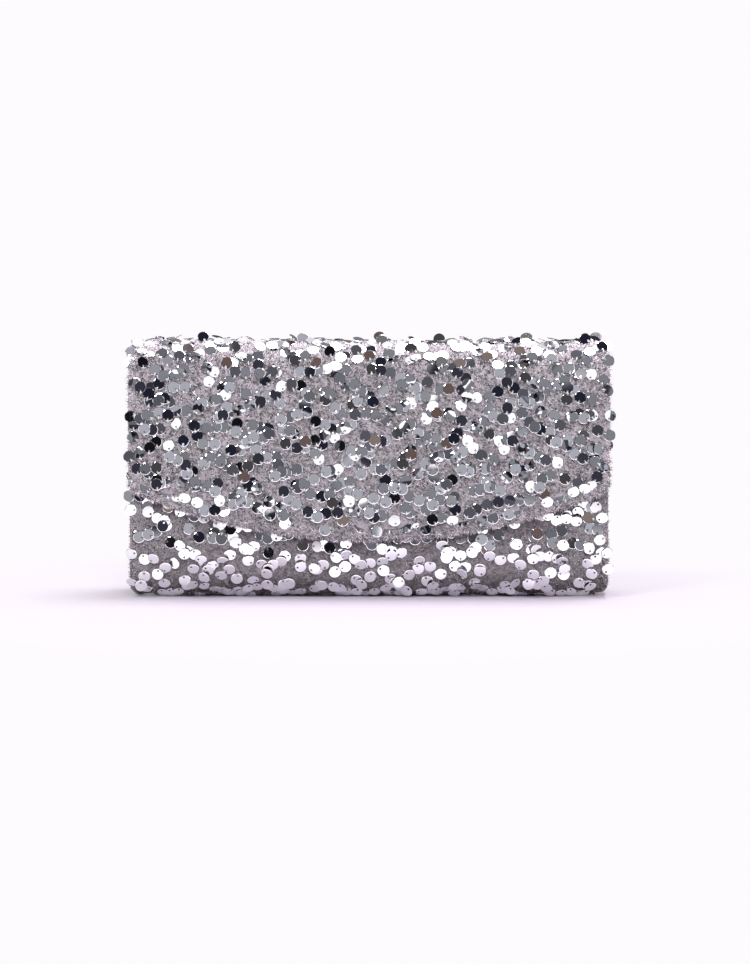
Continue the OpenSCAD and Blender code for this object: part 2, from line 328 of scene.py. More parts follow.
def grid_faces(rows, cols, first=0, flip=False):
    i, j = np.meshgrid(np.arange(rows - 1), np.arange(cols - 1), indexing="ij")
    a = first + i * cols + j
    quads = np.stack([a, a + 1, a + cols + 1, a + cols], axis=-1).reshape(-1, 4)
    return quads[:, ::-1] if flip else quads


def weld(points, quads, limit=1e-4):
    """Joins points that lie together and drops what that leaves with no area."""
    keys = np.round(points / limit).astype(np.int64)
    _, first, place = np.unique(keys, axis=0, return_index=True, return_inverse=True)
    place = place.ravel()
    faces = place[quads]
    same = faces == np.roll(faces, -1, axis=1)
    whole = faces[same.sum(1) == 0]
    three = faces[same.sum(1) == 1]
    cut = same[same.sum(1) == 1]
    tris = three[~cut].reshape(-1, 3) if len(three) else np.zeros((0, 3), int)
    return points[first], whole, tris


def slab(name, outer, inner, material, flip=True):
    """A closed sheet between two grids of points."""
    rows, cols = outer.shape[:2]
    count = rows * cols
    points = np.concatenate([outer.reshape(-1, 3), inner.reshape(-1, 3)])
    index = np.arange(count).reshape(rows, cols)
    ring = np.concatenate([index[0, :], index[1:, -1], index[-1, -2::-1], index[-2::-1, 0]])
    sides = np.stack([ring[:-1], ring[:-1] + count, ring[1:] + count, ring[1:]], axis=-1)
    quads = [grid_faces(rows, cols), grid_faces(rows, cols, count, flip=True), sides]
    quads = np.concatenate(quads)
    if flip:
        quads = quads[:, ::-1]
    points, whole, tris = weld(points, quads)
    return make_object(name, points, [whole, tris], material)


def edge_steps(radius, stop):
    """Distances from a rounded free edge, close together where it turns."""
    turn = radius * (1 - np.cos(np.linspace(0, math.pi / 2, 5)))
    return np.concatenate([turn, [HEM_W, HEM_W + 0.5, stop]]) if stop > HEM_W else turn


def panel_grid(start, stop, inset, radius, step=2.2):
    """Places (x, s) over one panel, set in from its free edges, and each one's distance to them.
    start and stop are lengths, or functions of x for a free edge."""
    rim = edge_steps(radius, HEM_W + 2 if inset == 0 else radius)
    reach = rim[-1]
    inner = np.linspace(-1, 1, int(2 * (WIDTH / 2 - inset - reach) / step) | 1)[1:-1]
    side = np.concatenate([-np.ones(len(rim)), inner, np.ones(len(rim))])
    from_side = np.concatenate([rim, np.full(len(inner), reach), rim[::-1]])
    free_start, free_stop = callable(start), callable(stop)
    low, high = span_of(start, stop)
    # Each row is a length for its width, and a function that gives the lengths along it.
    rows = []
    if free_start:
        rows += [(low + inset + e, lambda x, e=e: start(x) + inset + e) for e in rim]
    first = low + inset + reach if free_start else low
    last = AT["flap"] if free_stop else high
    for at in np.linspace(first, last, max(3, int((last - first) / step)))[free_start:]:
        rows.append((at, lambda x, at=at: np.maximum(
            at, start(x) + inset + reach if free_start else at) + 0 * x))
    if free_stop:
        near = AT["end"] - 30
        count = int((high - inset - reach - last) / step)
        rows += [(near, lambda x, t=t: last + (stop(x) - inset - reach - last) * t)
                 for t in np.linspace(0, 1, count + 1)[1:-1]]
        rows += [(near, lambda x, e=e: stop(x) - inset - e) for e in rim[::-1]]
    grid = np.zeros((len(rows), len(side), 3))
    for i, (near, length_at) in enumerate(rows):
        wide = float(half_width(near)) - inset
        x = side * (wide - from_side)
        s = length_at(x)
        gap = wide - np.abs(x)
        if free_start:
            gap = np.minimum(gap, s - start(x) - inset)
        if free_stop:
            gap = np.minimum(gap, stop(x) - inset - s)
        grid[i] = np.stack([x, s, np.maximum(gap, 0)], axis=-1)
    return grid[..., 0], grid[..., 1], grid[..., 2]


def rounded(gap, radius):
    """Half the thickness of a sheet with a rounded edge."""
    return radius * np.sqrt(np.clip(1 - (1 - np.clip(gap / radius, 0, 1)) ** 2, 0, 1))


def velvet_tray(name, start, stop, material):
    """A panel of velvet, turned in round its free edges. The foam and board lie in its back."""
    radius = TRAY_T / 2
    x, s, gap = panel_grid(start, stop, 0, radius)
    half = rounded(gap, radius)
    outer = skin(x, s, radius - half)
    hollow = smooth((gap - HEM_W) / 0.5)
    inner_depth = (radius + half) * (1 - hollow) + cloth_t(s) * hollow
    inner = skin(x, s, inner_depth, hollow)
    return slab(name, outer, inner, material)


def foam_layer(name, start, stop, folds, material):
    """Foam in the back of a velvet panel, as deep as the board where there is no board."""
    x, s, _ = panel_grid(start, stop, HEM_W + 0.8, 0.3, step=3)
    deep = np.zeros_like(s)
    for low, high in folds:
        deep = np.maximum(deep, smooth((s - low - 0.6) / 0.8) * smooth((high - 0.6 - s) / 0.8))
    outer = skin(x, s, cloth_t(s) + LAYER_GAP)
    inner = skin(x, s, BOARD_OUT - LAYER_GAP + (TRAY_T - BOARD_OUT - 0.04) * deep, 0)
    return slab(name, outer, inner, material)


def lining_layer(name, start, stop, material):
    """Satin over the back of a panel, up to the turned-in velvet, with a few slack creases."""
    radius = (WALL - TRAY_T) / 2
    x, s, gap = panel_grid(start, stop, LINING_IN, radius, step=2.6)
    half = rounded(gap, radius)
    crease = np.abs(ripple(3.1 * x + 4, 1.2 * s)) ** 0.6
    slack = smooth(gap / 6) * (0.3 * ripple(1.9 * x + 30, 2.3 * s) + 0.3 * crease - 0.35)
    outer = skin(x, s, TRAY_T + 0.03 + radius - half, 0)
    inner = skin(x, s, TRAY_T + 0.03 + radius + half + slack, 0)
    return slab(name, outer, inner, material)


# Materials
class Nodes:
    """Short ways to add nodes to a material or to the world."""

    def __init__(self, owner):
        owner.use_nodes = True
        self.nodes, self.links = owner.node_tree.nodes, owner.node_tree.links

    def add(self, kind, inputs=None, **settings):
        node = self.nodes.new(kind)
        for key, value in settings.items():
            setattr(node, key, value)
        for key, value in (inputs or {}).items():
            if isinstance(value, bpy.types.NodeSocket):
                self.links.new(value, node.inputs[key])
            else:
                node.inputs[key].default_value = value
        return node

    def ramp(self, factor, stops, interpolation="LINEAR"):
        node = self.add("ShaderNodeValToRGB", {"Fac": factor})
        band = node.color_ramp
        band.interpolation = interpolation
        while len(band.elements) < len(stops):
            band.elements.new(0.5)
        for element, (at, colour) in zip(band.elements, stops):
            element.position = at
            element.color = (*colour, 1)
        return node.outputs["Color"]

    def math(self, operation, *values):
        return self.add("ShaderNodeMath", dict(enumerate(values)), operation=operation).outputs[0]

    def mix(self, factor, a, b):
        return self.add("ShaderNodeMix", {0: factor, 6: a, 7: b}, data_type="RGBA").outputs[2]

    def mix_shader(self, factor, a, b):
        """a where the factor is 0 and b where it is 1."""
        inputs = {0: factor, 1: a.outputs[0], 2: b.outputs[0]}
        return self.add("ShaderNodeMixShader", inputs)

    def span(self, value, low, high):
        """0 up to low, 1 from high on, and even between them."""
        inputs = {"Value": value, "From Min": low, "From Max": high}
        return self.add("ShaderNodeMapRange", inputs).outputs[0]


class Shader(Nodes):
    """A material with a Principled shader."""

    def __init__(self, name, **sockets):
        self.material = bpy.data.materials.new(name)
        super().__init__(self.material)
        self.main = self.nodes["Principled BSDF"]
        for socket, value in sockets.items():
            self.main.inputs[socket.replace("_", " ")].default_value = value
        self.place = self.nodes.new("ShaderNodeTexCoord").outputs["Object"]

    def noise(self, scale, detail=3.0, roughness=0.55, distortion=0.0, vector=None):
        return self.add("ShaderNodeTexNoise", {
            "Vector": vector or self.place, "Scale": scale, "Detail": detail,
            "Roughness": roughness, "Distortion": distortion,
        }).outputs["Fac"]

    def stretched_noise(self, scale, detail):
        """Noise drawn out along x, for threads and fibres."""
        way = self.add("ShaderNodeMapping", {"Vector": self.place, "Scale": scale})
        return self.noise(1.0, detail, vector=way.outputs["Vector"])

    def attribute(self, name):
        return self.add("ShaderNodeAttribute", attribute_name=name).outputs["Fac"]

    def set(self, socket, value):
        self.links.new(value, self.main.inputs[socket])

    def bump(self, height, strength, distance):
        node = self.add("ShaderNodeBump", {
            "Height": height, "Strength": strength, "Distance": distance})
        self.set("Normal", node.outputs["Normal"])


def shade(colour, k):
    return tuple(c * k for c in colour)


def velvet_ground(name, colour):
    """The cloth under the pile, with painted shade: darker than the tufts' tips, for the shade that
    falls between them.
    """
    m = Shader(name, Roughness=0.95, Sheen_Weight=0.35, Sheen_Roughness=0.4)
    crush = m.noise(260, 4, 0.6, 0.6)
    fine = m.noise(1500, 3)
    tone = m.ramp(crush, [(0.32, shade(colour, 0.3)), (0.5, shade(colour, 0.45)),
                          (0.7, shade(colour, 0.62))])
    m.set("Base Color", m.mix(m.math("MULTIPLY", fine, 0.4), tone, (*shade(colour, 0.75), 1)))
    m.bump(m.math("ADD", crush, fine), 0.8, 0.0007)
    return m.material


def velvet_pile(name, colour):
    """Tufts of pile, in patches where it has been crushed, with painted shade: dark at the root and
    light at the tip. Their tone also carries a painted highlight along the rolled edges and the top.
    """
    m = Shader(name, Roughness=0.5, Sheen_Weight=0.6, Sheen_Roughness=0.35)
    tip = m.attribute("tip")
    tone = m.attribute("tone")
    crush = m.noise(420, 3, 0.6, 0.5)
    broad = m.noise(45, 2)
    # painted shade: the tip attribute darkens each tuft towards its foot
    level = m.math("MULTIPLY_ADD", tip, 0.3, m.math("MULTIPLY", tone, 1.05))
    level = m.math("ADD", level, m.math("MULTIPLY", crush, 0.7))
    level = m.math("ADD", level, m.math("MULTIPLY_ADD", broad, 0.25, -0.69))
    m.set("Base Color", m.ramp(level, [(0.34, shade(colour, 0.05)), (0.58, shade(colour, 0.3)),
                                       (0.76, shade(colour, 0.95)), (0.9, shade(colour, 1.2))]))
    return m.material


def sequin_metal(name):
    """Silvered film: a near mirror, each disc a little different, with faint wear."""
    m = Shader(name, Metallic=1.0)
    each = m.attribute("tone")
    m.set("Base Color", m.ramp(each, [(0.0, (0.83, 0.82, 0.83)), (0.5, (0.88, 0.88, 0.90)),
                                      (1.0, (0.92, 0.92, 0.96))]))
    wear = m.noise(900, 4, 0.7)
    own = m.math("MULTIPLY_ADD", each, 0.015, 0.005)
    m.set("Roughness", m.math("MULTIPLY_ADD", wear, 0.02, own))
    return m.material


def silver_thread(name):
    """Bright thread with a metal strip wound in it."""
    m = Shader(name, Metallic=0.25, Sheen_Weight=0.5)
    tones = [(0.3, (0.72, 0.72, 0.76)), (0.6, (0.97, 0.97, 0.99))]
    m.set("Base Color", m.ramp(m.noise(1400), tones))
    m.set("Roughness", m.math("MULTIPLY_ADD", m.noise(2500, 2), 0.3, 0.2))
    return m.material


def satin(name, colour):
    """Polyester satin: fine warp floats, soft gloss along them."""
    m = Shader(name, Sheen_Weight=0.5, Sheen_Roughness=0.3, Specular_IOR_Level=0.8, Anisotropic=0.5)
    weave = m.stretched_noise((5200, 700, 700), 2)
    cloudy = m.noise(70, 3)
    tone = m.ramp(cloudy, [(0.3, shade(colour, 0.92)), (0.7, shade(colour, 1.1))])
    m.set("Base Color", m.mix(m.math("MULTIPLY", weave, 0.5), (*shade(colour, 0.82), 1), tone))
    m.set("Roughness", m.math("MULTIPLY_ADD", weave, 0.25, 0.3))
    m.bump(m.math("MULTIPLY_ADD", cloudy, 0.4, weave), 0.35, 0.0002)
    return m.material


def grained(name, grain, tones, relief, rough=None, **sockets):
    """A material whose colour and relief, and its roughness if it varies, follow one grain."""
    m = Shader(name, **sockets)
    value = grain(m)
    m.set("Base Color", m.ramp(value, tones))
    if rough:
        m.set("Roughness", m.math("MULTIPLY_ADD", value, *rough))
    m.bump(value, *relief)
    return m.material


def bubbles(m):
    return m.add("ShaderNodeTexVoronoi", {"Vector": m.place, "Scale": 1600}).outputs["Distance"]


def twist(m):
    return m.add("ShaderNodeTexWave", {"Vector": m.place, "Scale": 900, "Distortion": 1.5},
                 bands_direction="DIAGONAL").outputs["Fac"]


def nickel_plate(name):
    m = Shader(name, Metallic=1.0)
    worn = m.noise(500, 4, 0.65)
    m.set("Base Color", m.ramp(worn, [(0.3, (0.62, 0.6, 0.56)), (0.7, (0.75, 0.74, 0.71))]))
    m.set("Roughness", m.math("MULTIPLY_ADD", worn, 0.25, 0.12))
    m.bump(m.noise(2600, 2), 0.08, 0.0001)
    return m.material


MAUVE = (0.86, 0.765, 0.85)
# painted shade: a darker copy of MAUVE, for the same velvet on the front wall below the flap, in the
# flap's shade and with its nap turned from the light
MAUVE_SHADED = (0.60, 0.525, 0.59)
SATIN_GREY = (0.33, 0.325, 0.36)
THREAD_GREY = (0.42, 0.4, 0.44)
LIGHT_GROUND = velvet_ground("velvet_ground_light", MAUVE)
SHADED_GROUND = velvet_ground("velvet_ground_shaded", MAUVE_SHADED)
LIGHT_PILE = velvet_pile("velvet_pile_light", MAUVE)
SHADED_PILE = velvet_pile("velvet_pile_shaded", MAUVE_SHADED)
SEQUIN = sequin_metal("silver_sequin")
THREAD_SILVER = silver_thread("silver_thread")
SATIN = satin("grey_satin", SATIN_GREY)
FOAM = grained("foam", bubbles, [(0.1, (0.62, 0.6, 0.52)), (0.5, (0.86, 0.85, 0.78))],
               (0.6, 0.0003), Roughness=0.9, Subsurface_Weight=0.1)
BOARD = grained("greyboard", lambda m: m.stretched_noise((300, 2400, 2400), 4),
                [(0.3, (0.22, 0.2, 0.17)), (0.7, (0.36, 0.33, 0.28))], (0.4, 0.0002), Roughness=0.9)
NICKEL = nickel_plate("nickel_plate")
FERRITE = grained("ferrite_magnet", lambda m: m.noise(2200, 4),
                  [(0.35, (0.03, 0.03, 0.032)), (0.7, (0.09, 0.09, 0.095))], (0.3, 0.0001),
                  rough=(0.3, 0.5), Specular_IOR_Level=0.4)
THREAD = grained("grey_thread", twist, [(0.2, shade(THREAD_GREY, 0.7)), (0.8, THREAD_GREY)],
                 (0.5, 0.0001), Roughness=0.7, Sheen_Weight=0.4)


# Folds. Across each fold a weight turns evenly over a short stretch of cloth.
def hinge_ends(name, reach):
    """Two points either side of a joint, along the cloth that folds there."""
    joint = next(j for j in frame["joints"] if j["name"] == name)
    pivot = np.array(joint["pos_m"]) / MM
    s = {"flap_hinge": AT["hinge"], "flap_fold": AT["fold"], "front_wall_fold": AT["foot"]}[name]
    _, _, ny, nz = on_path(s)
    along = np.array([0, -nz, ny])
    return tuple((pivot - along * reach) * MM), tuple((pivot + along * reach) * MM)


FOLDS = {
    "front": ("front_wall", "bag", *hinge_ends("front_wall_fold", 7)),
    "back": ("bag", "flap_top", *hinge_ends("flap_hinge", 8)),
    "flap": ("flap_top", "flap_front", *hinge_ends("flap_fold", 8)),
}


def fold_weight(panel, points):
    start, end = (np.array(p) / MM for p in FOLDS[panel][2:])
    run = end - start
    return smooth(((points - start) @ run) / (run @ run))


def move_with(obj, panel, weights=None):
    """Bakes the piece's transform into its mesh; the piece is not bent across its panel's fold. The
    weights are not used.
    """
    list(FOLDS[panel])
    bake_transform(obj)


PANELS = {
    "front": (mouth_s, BASE_MID),
    "back": (BASE_MID, APEX),
    "flap": (APEX, flap_s),
}


# Panels: velvet with foam and board in its back, and a lining
def flat_area(start, stop, inset):
    """Area of a panel cut flat, in square metres."""
    x = np.linspace(-1, 1, 200) * (WIDTH / 2 - inset)
    low = start(x) + inset if callable(start) else start
    high = stop(x) - inset if callable(stop) else stop
    return float(np.mean(high - low + 0 * x)) * (WIDTH - 2 * inset) * MM**2


def length_of(start, stop):
    low, high = span_of(start, stop)
    return (high - low) * MM


SOFT_FOLDS = {
    "front": [(AT["foot"], AT["base_front"])],
    "back": [(AT["base_back"], AT["back_foot"]), (AT["back_top"], APEX + 5)],
    "flap": [(APEX - 5, AT["flap"])],
}
STANDS_FOR = {
    "front": (["front_panel"], ["front_foam"], ["front_lining"]),
    "back": (["base_panel", "back_panel"], ["base_foam", "back_foam"],
             ["base_lining", "back_lining"]),
    "flap": (["flap_top_cover", "flap_cover"], ["flap_top_foam", "flap_foam"],
             ["flap_top_lining", "flap_lining"]),
}
# painted shade: the front wall's velvet uses the shaded copy
GROUNDS = {"front": SHADED_GROUND, "back": LIGHT_GROUND, "flap": LIGHT_GROUND}
for panel, (start, stop) in PANELS.items():
    velvet = velvet_tray("velvet_" + panel, start, stop, GROUNDS[panel])
    foam = foam_layer("padding_" + panel, start, stop, SOFT_FOLDS[panel], FOAM)
    lining = lining_layer("satin_" + panel, start, stop, SATIN)
    for piece, nodes, slot in zip(
        (velvet, foam, lining), STANDS_FOR[panel], ("velvet", "foam", "satin_lining")
    ):
        move_with(piece, panel)
        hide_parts(*nodes)
    length_of(start, stop)
    flat_area(start, stop, LINING_IN)


# Side gussets: velvet outside, satin inside, folded inwards between the walls
GUSSET_W = 36.5
GUSSET_IN = 1                   # its seams are set in from the sides of the bag
GUSSET_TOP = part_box("gusset_left")[1].z / MM
SEAM_GAP = 0.15
GUSSET_SIDES = {"left": -1, "right": 1}
GUSSET_ROWS, GUSSET_COLS = 46, 33
CREASE_ROUND = 0.13             # how softly the inward fold turns, of its width


def wall_y(z, mark, side):
    """Inner face of the front wall (side 1) or of the back wall (side -1) at a height."""
    if side > 0:
        low, high = AT["mouth"], AT["foot"]
    else:
        low, high = AT["back_foot"], AT["back_top"]
    s = np.linspace(low, high, 200)
    y, height, ny, nz = on_path(s)
    depth = WALL + SEAM_GAP
    y, height = y - depth * ny, height - depth * nz
    order = np.argsort(height)
    straight = np.interp(z, height[order], y[order])
    reach = np.sqrt(np.maximum((BASE_R - depth) ** 2 - (BASE_R - z) ** 2, 0))
    centre = on_path(AT[mark])[0]
    return np.where(z < BASE_R, centre - side * reach, straight)


def gusset_grid(depth):
    """The right gusset at a depth behind its outer face, as (row, column) points."""
    bottom = np.linspace(0, math.pi / 2, 9)[:-1]
    z = np.concatenate([
        BASE_R - (BASE_R - WALL - SEAM_GAP) * np.cos(bottom),
        np.linspace(BASE_R, GUSSET_TOP - 1.4, GUSSET_ROWS - len(bottom)),
        GUSSET_TOP - 0.7 * (1 + np.cos(np.linspace(0, math.pi / 2, 5)))[1:],
    ])
    front = wall_y(z, "base_front", 1)
    back = wall_y(z, "base_back", -1)
    fold = np.sqrt(np.maximum((GUSSET_W / 2) ** 2 - ((back - front) / 2) ** 2, 0))
    fold = fold * smooth((z - BASE_R + 2) / 14)
    u = np.linspace(0, 1, GUSSET_COLS)
    crease = 1 - np.sqrt((2 * u - 1) ** 2 + CREASE_ROUND**2)
    crease = (crease - crease[0]) / (1 - CREASE_ROUND - crease[0])
    slope = np.gradient(crease, u)
    wobble = 0.5 * np.sin(z * 0.11 + 1) * smooth((z - 20) / 20)
    across = (back - front)[:, None]
    lean = np.sqrt(1 + (fold[:, None] * slope / across) ** 2)
    x = WIDTH / 2 - GUSSET_IN - fold[:, None] * crease - depth * lean
    x = x + wobble[:, None] * np.sin(math.pi * u) * 0.6
    y = front[:, None] + across * u
    return np.stack([x, y, z[:, None] + 0 * x], axis=-1)


def gusset_weight(points):
    """1 where the gusset is sewn to the front wall, 0 at the back wall and down at the base."""
    y, z = points[:, 1], points[:, 2]
    front, back = wall_y(z, "base_front", 1), wall_y(z, "base_back", -1)
    return smooth((back - y) / (back - front)) * smooth((z - 9) / 12)


def points_of(obj):
    points = np.empty(len(obj.data.vertices) * 3, np.float32)
    obj.data.vertices.foreach_get("co", points)
    return points.reshape(-1, 3).astype(float) / MM


def move_gusset(obj, points):
    """Bakes the mesh's transform; it is not bent with the gusset, and the weights worked out from
    points are not used.
    """
    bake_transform(obj)
    gusset_weight(points)


GUSSET_LAYERS = [
    ("velvet", 0.0, VELVET_T, LIGHT_GROUND, "velvet", "gusset_"),
    ("satin", VELVET_T + LAYER_GAP, VELVET_T + 0.6, SATIN, "satin_lining", "gusset_lining_"),
]
for side_name, side in GUSSET_SIDES.items():
    for kind, outer_at, inner_at, material, slot, node in GUSSET_LAYERS:
        outer, inner = gusset_grid(outer_at), gusset_grid(inner_at)
        for grid in (outer, inner):
            grid[..., 0] *= side
        piece = slab(f"gusset_{kind}_{side_name}", outer, inner, material, flip=side > 0)
        move_gusset(piece, points_of(piece))
        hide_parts(node + side_name)


# Slip pocket on the back lining: a slack sheet of satin with a turned hem
POCKET_LOW = AT["back_foot"] + 26
POCKET_H = 66
POCKET_W = 120
POCKET_HEM = 9
POCKET_T = 0.55


def pocket_depth(x, s):
    up = (s - POCKET_LOW) / POCKET_H
    across = np.clip(1 - (x / (POCKET_W / 2)) ** 2, 0, 1)
    slack = 2.0 * smooth(up * 1.1) * across**0.8 * (1 + 0.22 * ripple(2.3 * x, 1.7 * s + 40))
    return WALL + 0.4 + slack


def pocket_sheet(name, low, high, near, far):
    x, s = np.meshgrid(np.linspace(-POCKET_W / 2, POCKET_W / 2, 61), np.linspace(low, high, 35))
    edge = np.minimum(POCKET_W / 2 - np.abs(x), np.minimum(s - low, high - s))
    half = rounded(np.maximum(edge, 0), (far - near) / 2)
    middle = pocket_depth(x, s) + (near + far) / 2
    piece = slab(name, skin(x, s, middle - half, 0), skin(x, s, middle + half, 0), SATIN)
    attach(piece, "bag")
    return piece


pocket = pocket_sheet("pocket_satin", POCKET_LOW, POCKET_LOW + POCKET_H, 0, POCKET_T)
pocket_hem = pocket_sheet("pocket_hem_satin", POCKET_LOW + POCKET_H - POCKET_HEM,
                          POCKET_LOW + POCKET_H - 0.1, POCKET_T + 0.03, 2 * POCKET_T)
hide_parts("slip_pocket", "pocket_seams")
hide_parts("pocket_hem")


# CAD nodes that stay as they are, with their finish
FINISHES = {
    "front_board": BOARD, "base_board": BOARD, "back_board": BOARD, "flap_board": BOARD,
    "snap_socket_cap": NICKEL, "snap_socket_legs": NICKEL, "snap_socket_washer": NICKEL,
    "snap_stud": NICKEL, "snap_stud_washer": NICKEL, "snap_socket_magnet": FERRITE,
}
for node, material in FINISHES.items():
    frame["nodes"][node].data.materials.clear()
    frame["nodes"][node].data.materials.append(material)


# Sequins. Each is a thin bevelled disc with a hole near its rim, some of them cupped or bent.
def ring(sides, radius, x=0.0):
    a = np.arange(sides) * 2 * math.pi / sides
    return np.stack([x + radius * np.cos(a), radius * np.sin(a)], axis=-1)


def disc_template():
    """Points (u, v, height) and faces of a disc whose hole lies towards -u."""
    hole = ring(HOLE_SIDES, SEQUIN_HOLE_R, -SEQUIN_HOLE_AT)
    inner = np.concatenate([ring(8, 1.1, 0.15), ring(7, 2.05, 0.45)[[0, 1, 2, 5, 6]], [[0.1, 0.0]]])
    rim = ring(SEQUIN_SIDES, SEQUIN_R - SEQUIN_BEVEL)
    flat = np.concatenate([rim, hole, inner])
    loops = [list(range(SEQUIN_SIDES)), list(range(SEQUIN_SIDES, SEQUIN_SIDES + HOLE_SIDES))]
    edges = [(a, b) for loop in loops for a, b in zip(loop, loop[1:] + loop[:1])]
    cut = delaunay_2d_cdt([Vector(p) for p in flat], edges, [], 0, 1e-6)
    tris = np.array([f for f in cut[2] if not all(i in loops[1] for i in f)])
    count = len(flat)
    low = flat.copy()
    low[:SEQUIN_SIDES] *= SEQUIN_R / (SEQUIN_R - SEQUIN_BEVEL)
    points = np.concatenate([
        np.column_stack([flat, np.full(count, SEQUIN_T)]), np.column_stack([low, np.zeros(count)])
    ])
    outer, inside = np.array(loops[0]), np.array(loops[1])
    after, next_in = np.roll(outer, -1), np.roll(inside, -1)
    sides = np.concatenate([
        np.stack([outer, outer + count, after + count, after], axis=-1),
        np.stack([inside, next_in, next_in + count, inside + count], axis=-1),
    ])
    return points, [np.concatenate([tris, tris[:, ::-1] + count]), sides]


def surface(x, s):
    """Place, outward normal, and the directions along x and up the bag on the velvet's face."""
    place = skin(x, s)
    normal = skin_normal(x, s)
    _, _, ny, nz = on_path(s)
    down = np.stack([0 * ny, -nz, ny], axis=-1)
    up = np.where((s > AT["base_front"])[..., None] & (s < APEX)[..., None], down, -down)
    up = unit(up - normal * np.sum(up * normal, axis=-1, keepdims=True))
    return place, normal, np.cross(up, normal), up


def disc_room(x, s):
    """How far above the velvet a disc may reach at a place."""
    under_flap = s < AT["foot"] and on_path(s)[1] > FLAP_Z - 3
    if under_flap:
        return FLAP_GAP - float(swell(x, s)) - 0.35
    if base_share(s) > 0.99:
        return BASE_LIFT - 0.08
    return OPEN_ROOM


def from_snap(x, s):
    return np.hypot(x - SNAP_X, on_path(s)[1] - SNAP_Z)


def allowed(panel, x, s):
    """Where the chains leave out a sequin: the hems, the hinge and the snap."""
    if half_width(s) - abs(x) < SIDE_CLEAR:
        return False
    if panel == "front":
        return s > mouth_s(x) + MOUTH_CLEAR and from_snap(x, s) > SNAP_CLEAR
    if panel == "flap":
        return s < flap_s(x) - FLAP_CLEAR
    return abs(s - AT["hinge"]) > HINGE_CLEAR


def chains(panel):
    """Places (x, s) of the holes, chain by chain."""
    low, high = span_of(*PANELS[panel])
    pitch, step = CHAINS[panel]
    for row in np.arange(low + pitch / 2, high, pitch):
        x = np.arange(-WIDTH / 2 + rng.uniform(0.5, step), WIDTH / 2, step)
        length, phase = rng.uniform(*CHAIN_WAVE_LENGTH), rng.uniform(0, 2 * math.pi)
        s = row + CHAIN_WAVE * np.sin(2 * math.pi * x / length + phase)
        x = x + rng.normal(0, CHAIN_SCATTER[0], len(x))
        s = s + rng.normal(0, CHAIN_SCATTER[1], len(x))
        order = np.flatnonzero(rng.random(len(x)) > SEQUINS_LOST)
        if rng.random() < 0.5:
            order = order[::-1]
        for i in order:
            if allowed(panel, x[i], s[i]):
                yield float(x[i]), float(s[i])


# For each zone the share of the sequins that lie askew, then the spread of their tilt and of the
# others', in degrees.
TILTS = {"flap": (0.13, 17.0, 4.4), "front": (0.16, 16.0, 8.0), "back": (0.12, 14.0, 5.5)}
OVER_SIDE = (3.2, 0.55)         # how near to a side some of them hang over it, and how many do
EDGE_BAND, TOP_BAND = 6, 20     # so far down from the top, some of the flap's ones have turned


def lie(panel, x, s):
    """(pitch, yaw) of a disc off the cloth and the way its middle hangs from its hole, in degrees.
    On the flap the discs stand on their holes. Lower down they have been brushed every way."""
    z = float(on_path(s)[1])
    stray = rng.random()
    over_side = half_width(s) - abs(x) < OVER_SIDE[0] and rng.random() < OVER_SIDE[1]
    side_way = math.copysign(90, x) * (-1 if panel == "back" else 1) + rng.normal(0, 25)
    zone = "flap" if panel == "back" and s > AT["back_top"] else panel
    askew, wide, spread = TILTS[zone]
    if zone == "flap":
        pitch = 4.0
        if z > HEIGHT - EDGE_BAND:
            pitch, spread = (-52.0 if stray > 0.95 else -2.0), 6.0
        elif z > HEIGHT - TOP_BAND and stray > 0.8:
            pitch, spread = 40.0, 8.0
        tilt = wide if stray < askew else spread
        hang = side_way if over_side else rng.normal(0, 30)
        return rng.normal(pitch, tilt), rng.normal(0, tilt * 1.2), hang
    tilt = wide if stray < askew else spread
    if zone == "back":
        return rng.normal(1, tilt), rng.normal(0, tilt), side_way if over_side else rng.normal(0, 40)
    hidden = z > float(on_path(flap_s(x))[1]) + 2
    if hidden:
        return rng.normal(0, 3), rng.normal(0, 3), rng.uniform(0, 360)
    hang = 180 + rng.normal(0, 40) if z < 11 else rng.uniform(0, 360)
    pitch = -15.0 if z > 13 else -3.0
    return rng.normal(pitch, tilt), rng.normal(0, 11), side_way if over_side else hang


MOST_DISCS = 5000
RIM_POINTS = 20                 # places on a disc's rim that are tested
RIM_TURN = np.arange(RIM_POINTS) * math.pi / (RIM_POINTS / 2)
RIM_COS, RIM_SIN = np.cos(RIM_TURN)[:, None], np.sin(RIM_TURN)[:, None]
DISC_CLEAR = 0.17               # from disc to disc
RIM_OVER_CLOTH = 0.22
RIM_OVER_FLOOR = 0.04
TRIES = 30
FIRST_LIFT, LIFT_STEP, MOST_LIFT = 0.4, 0.14, 2.3
FLATTER_LIFT = 0.25             # where a disc starts again after it was laid flatter


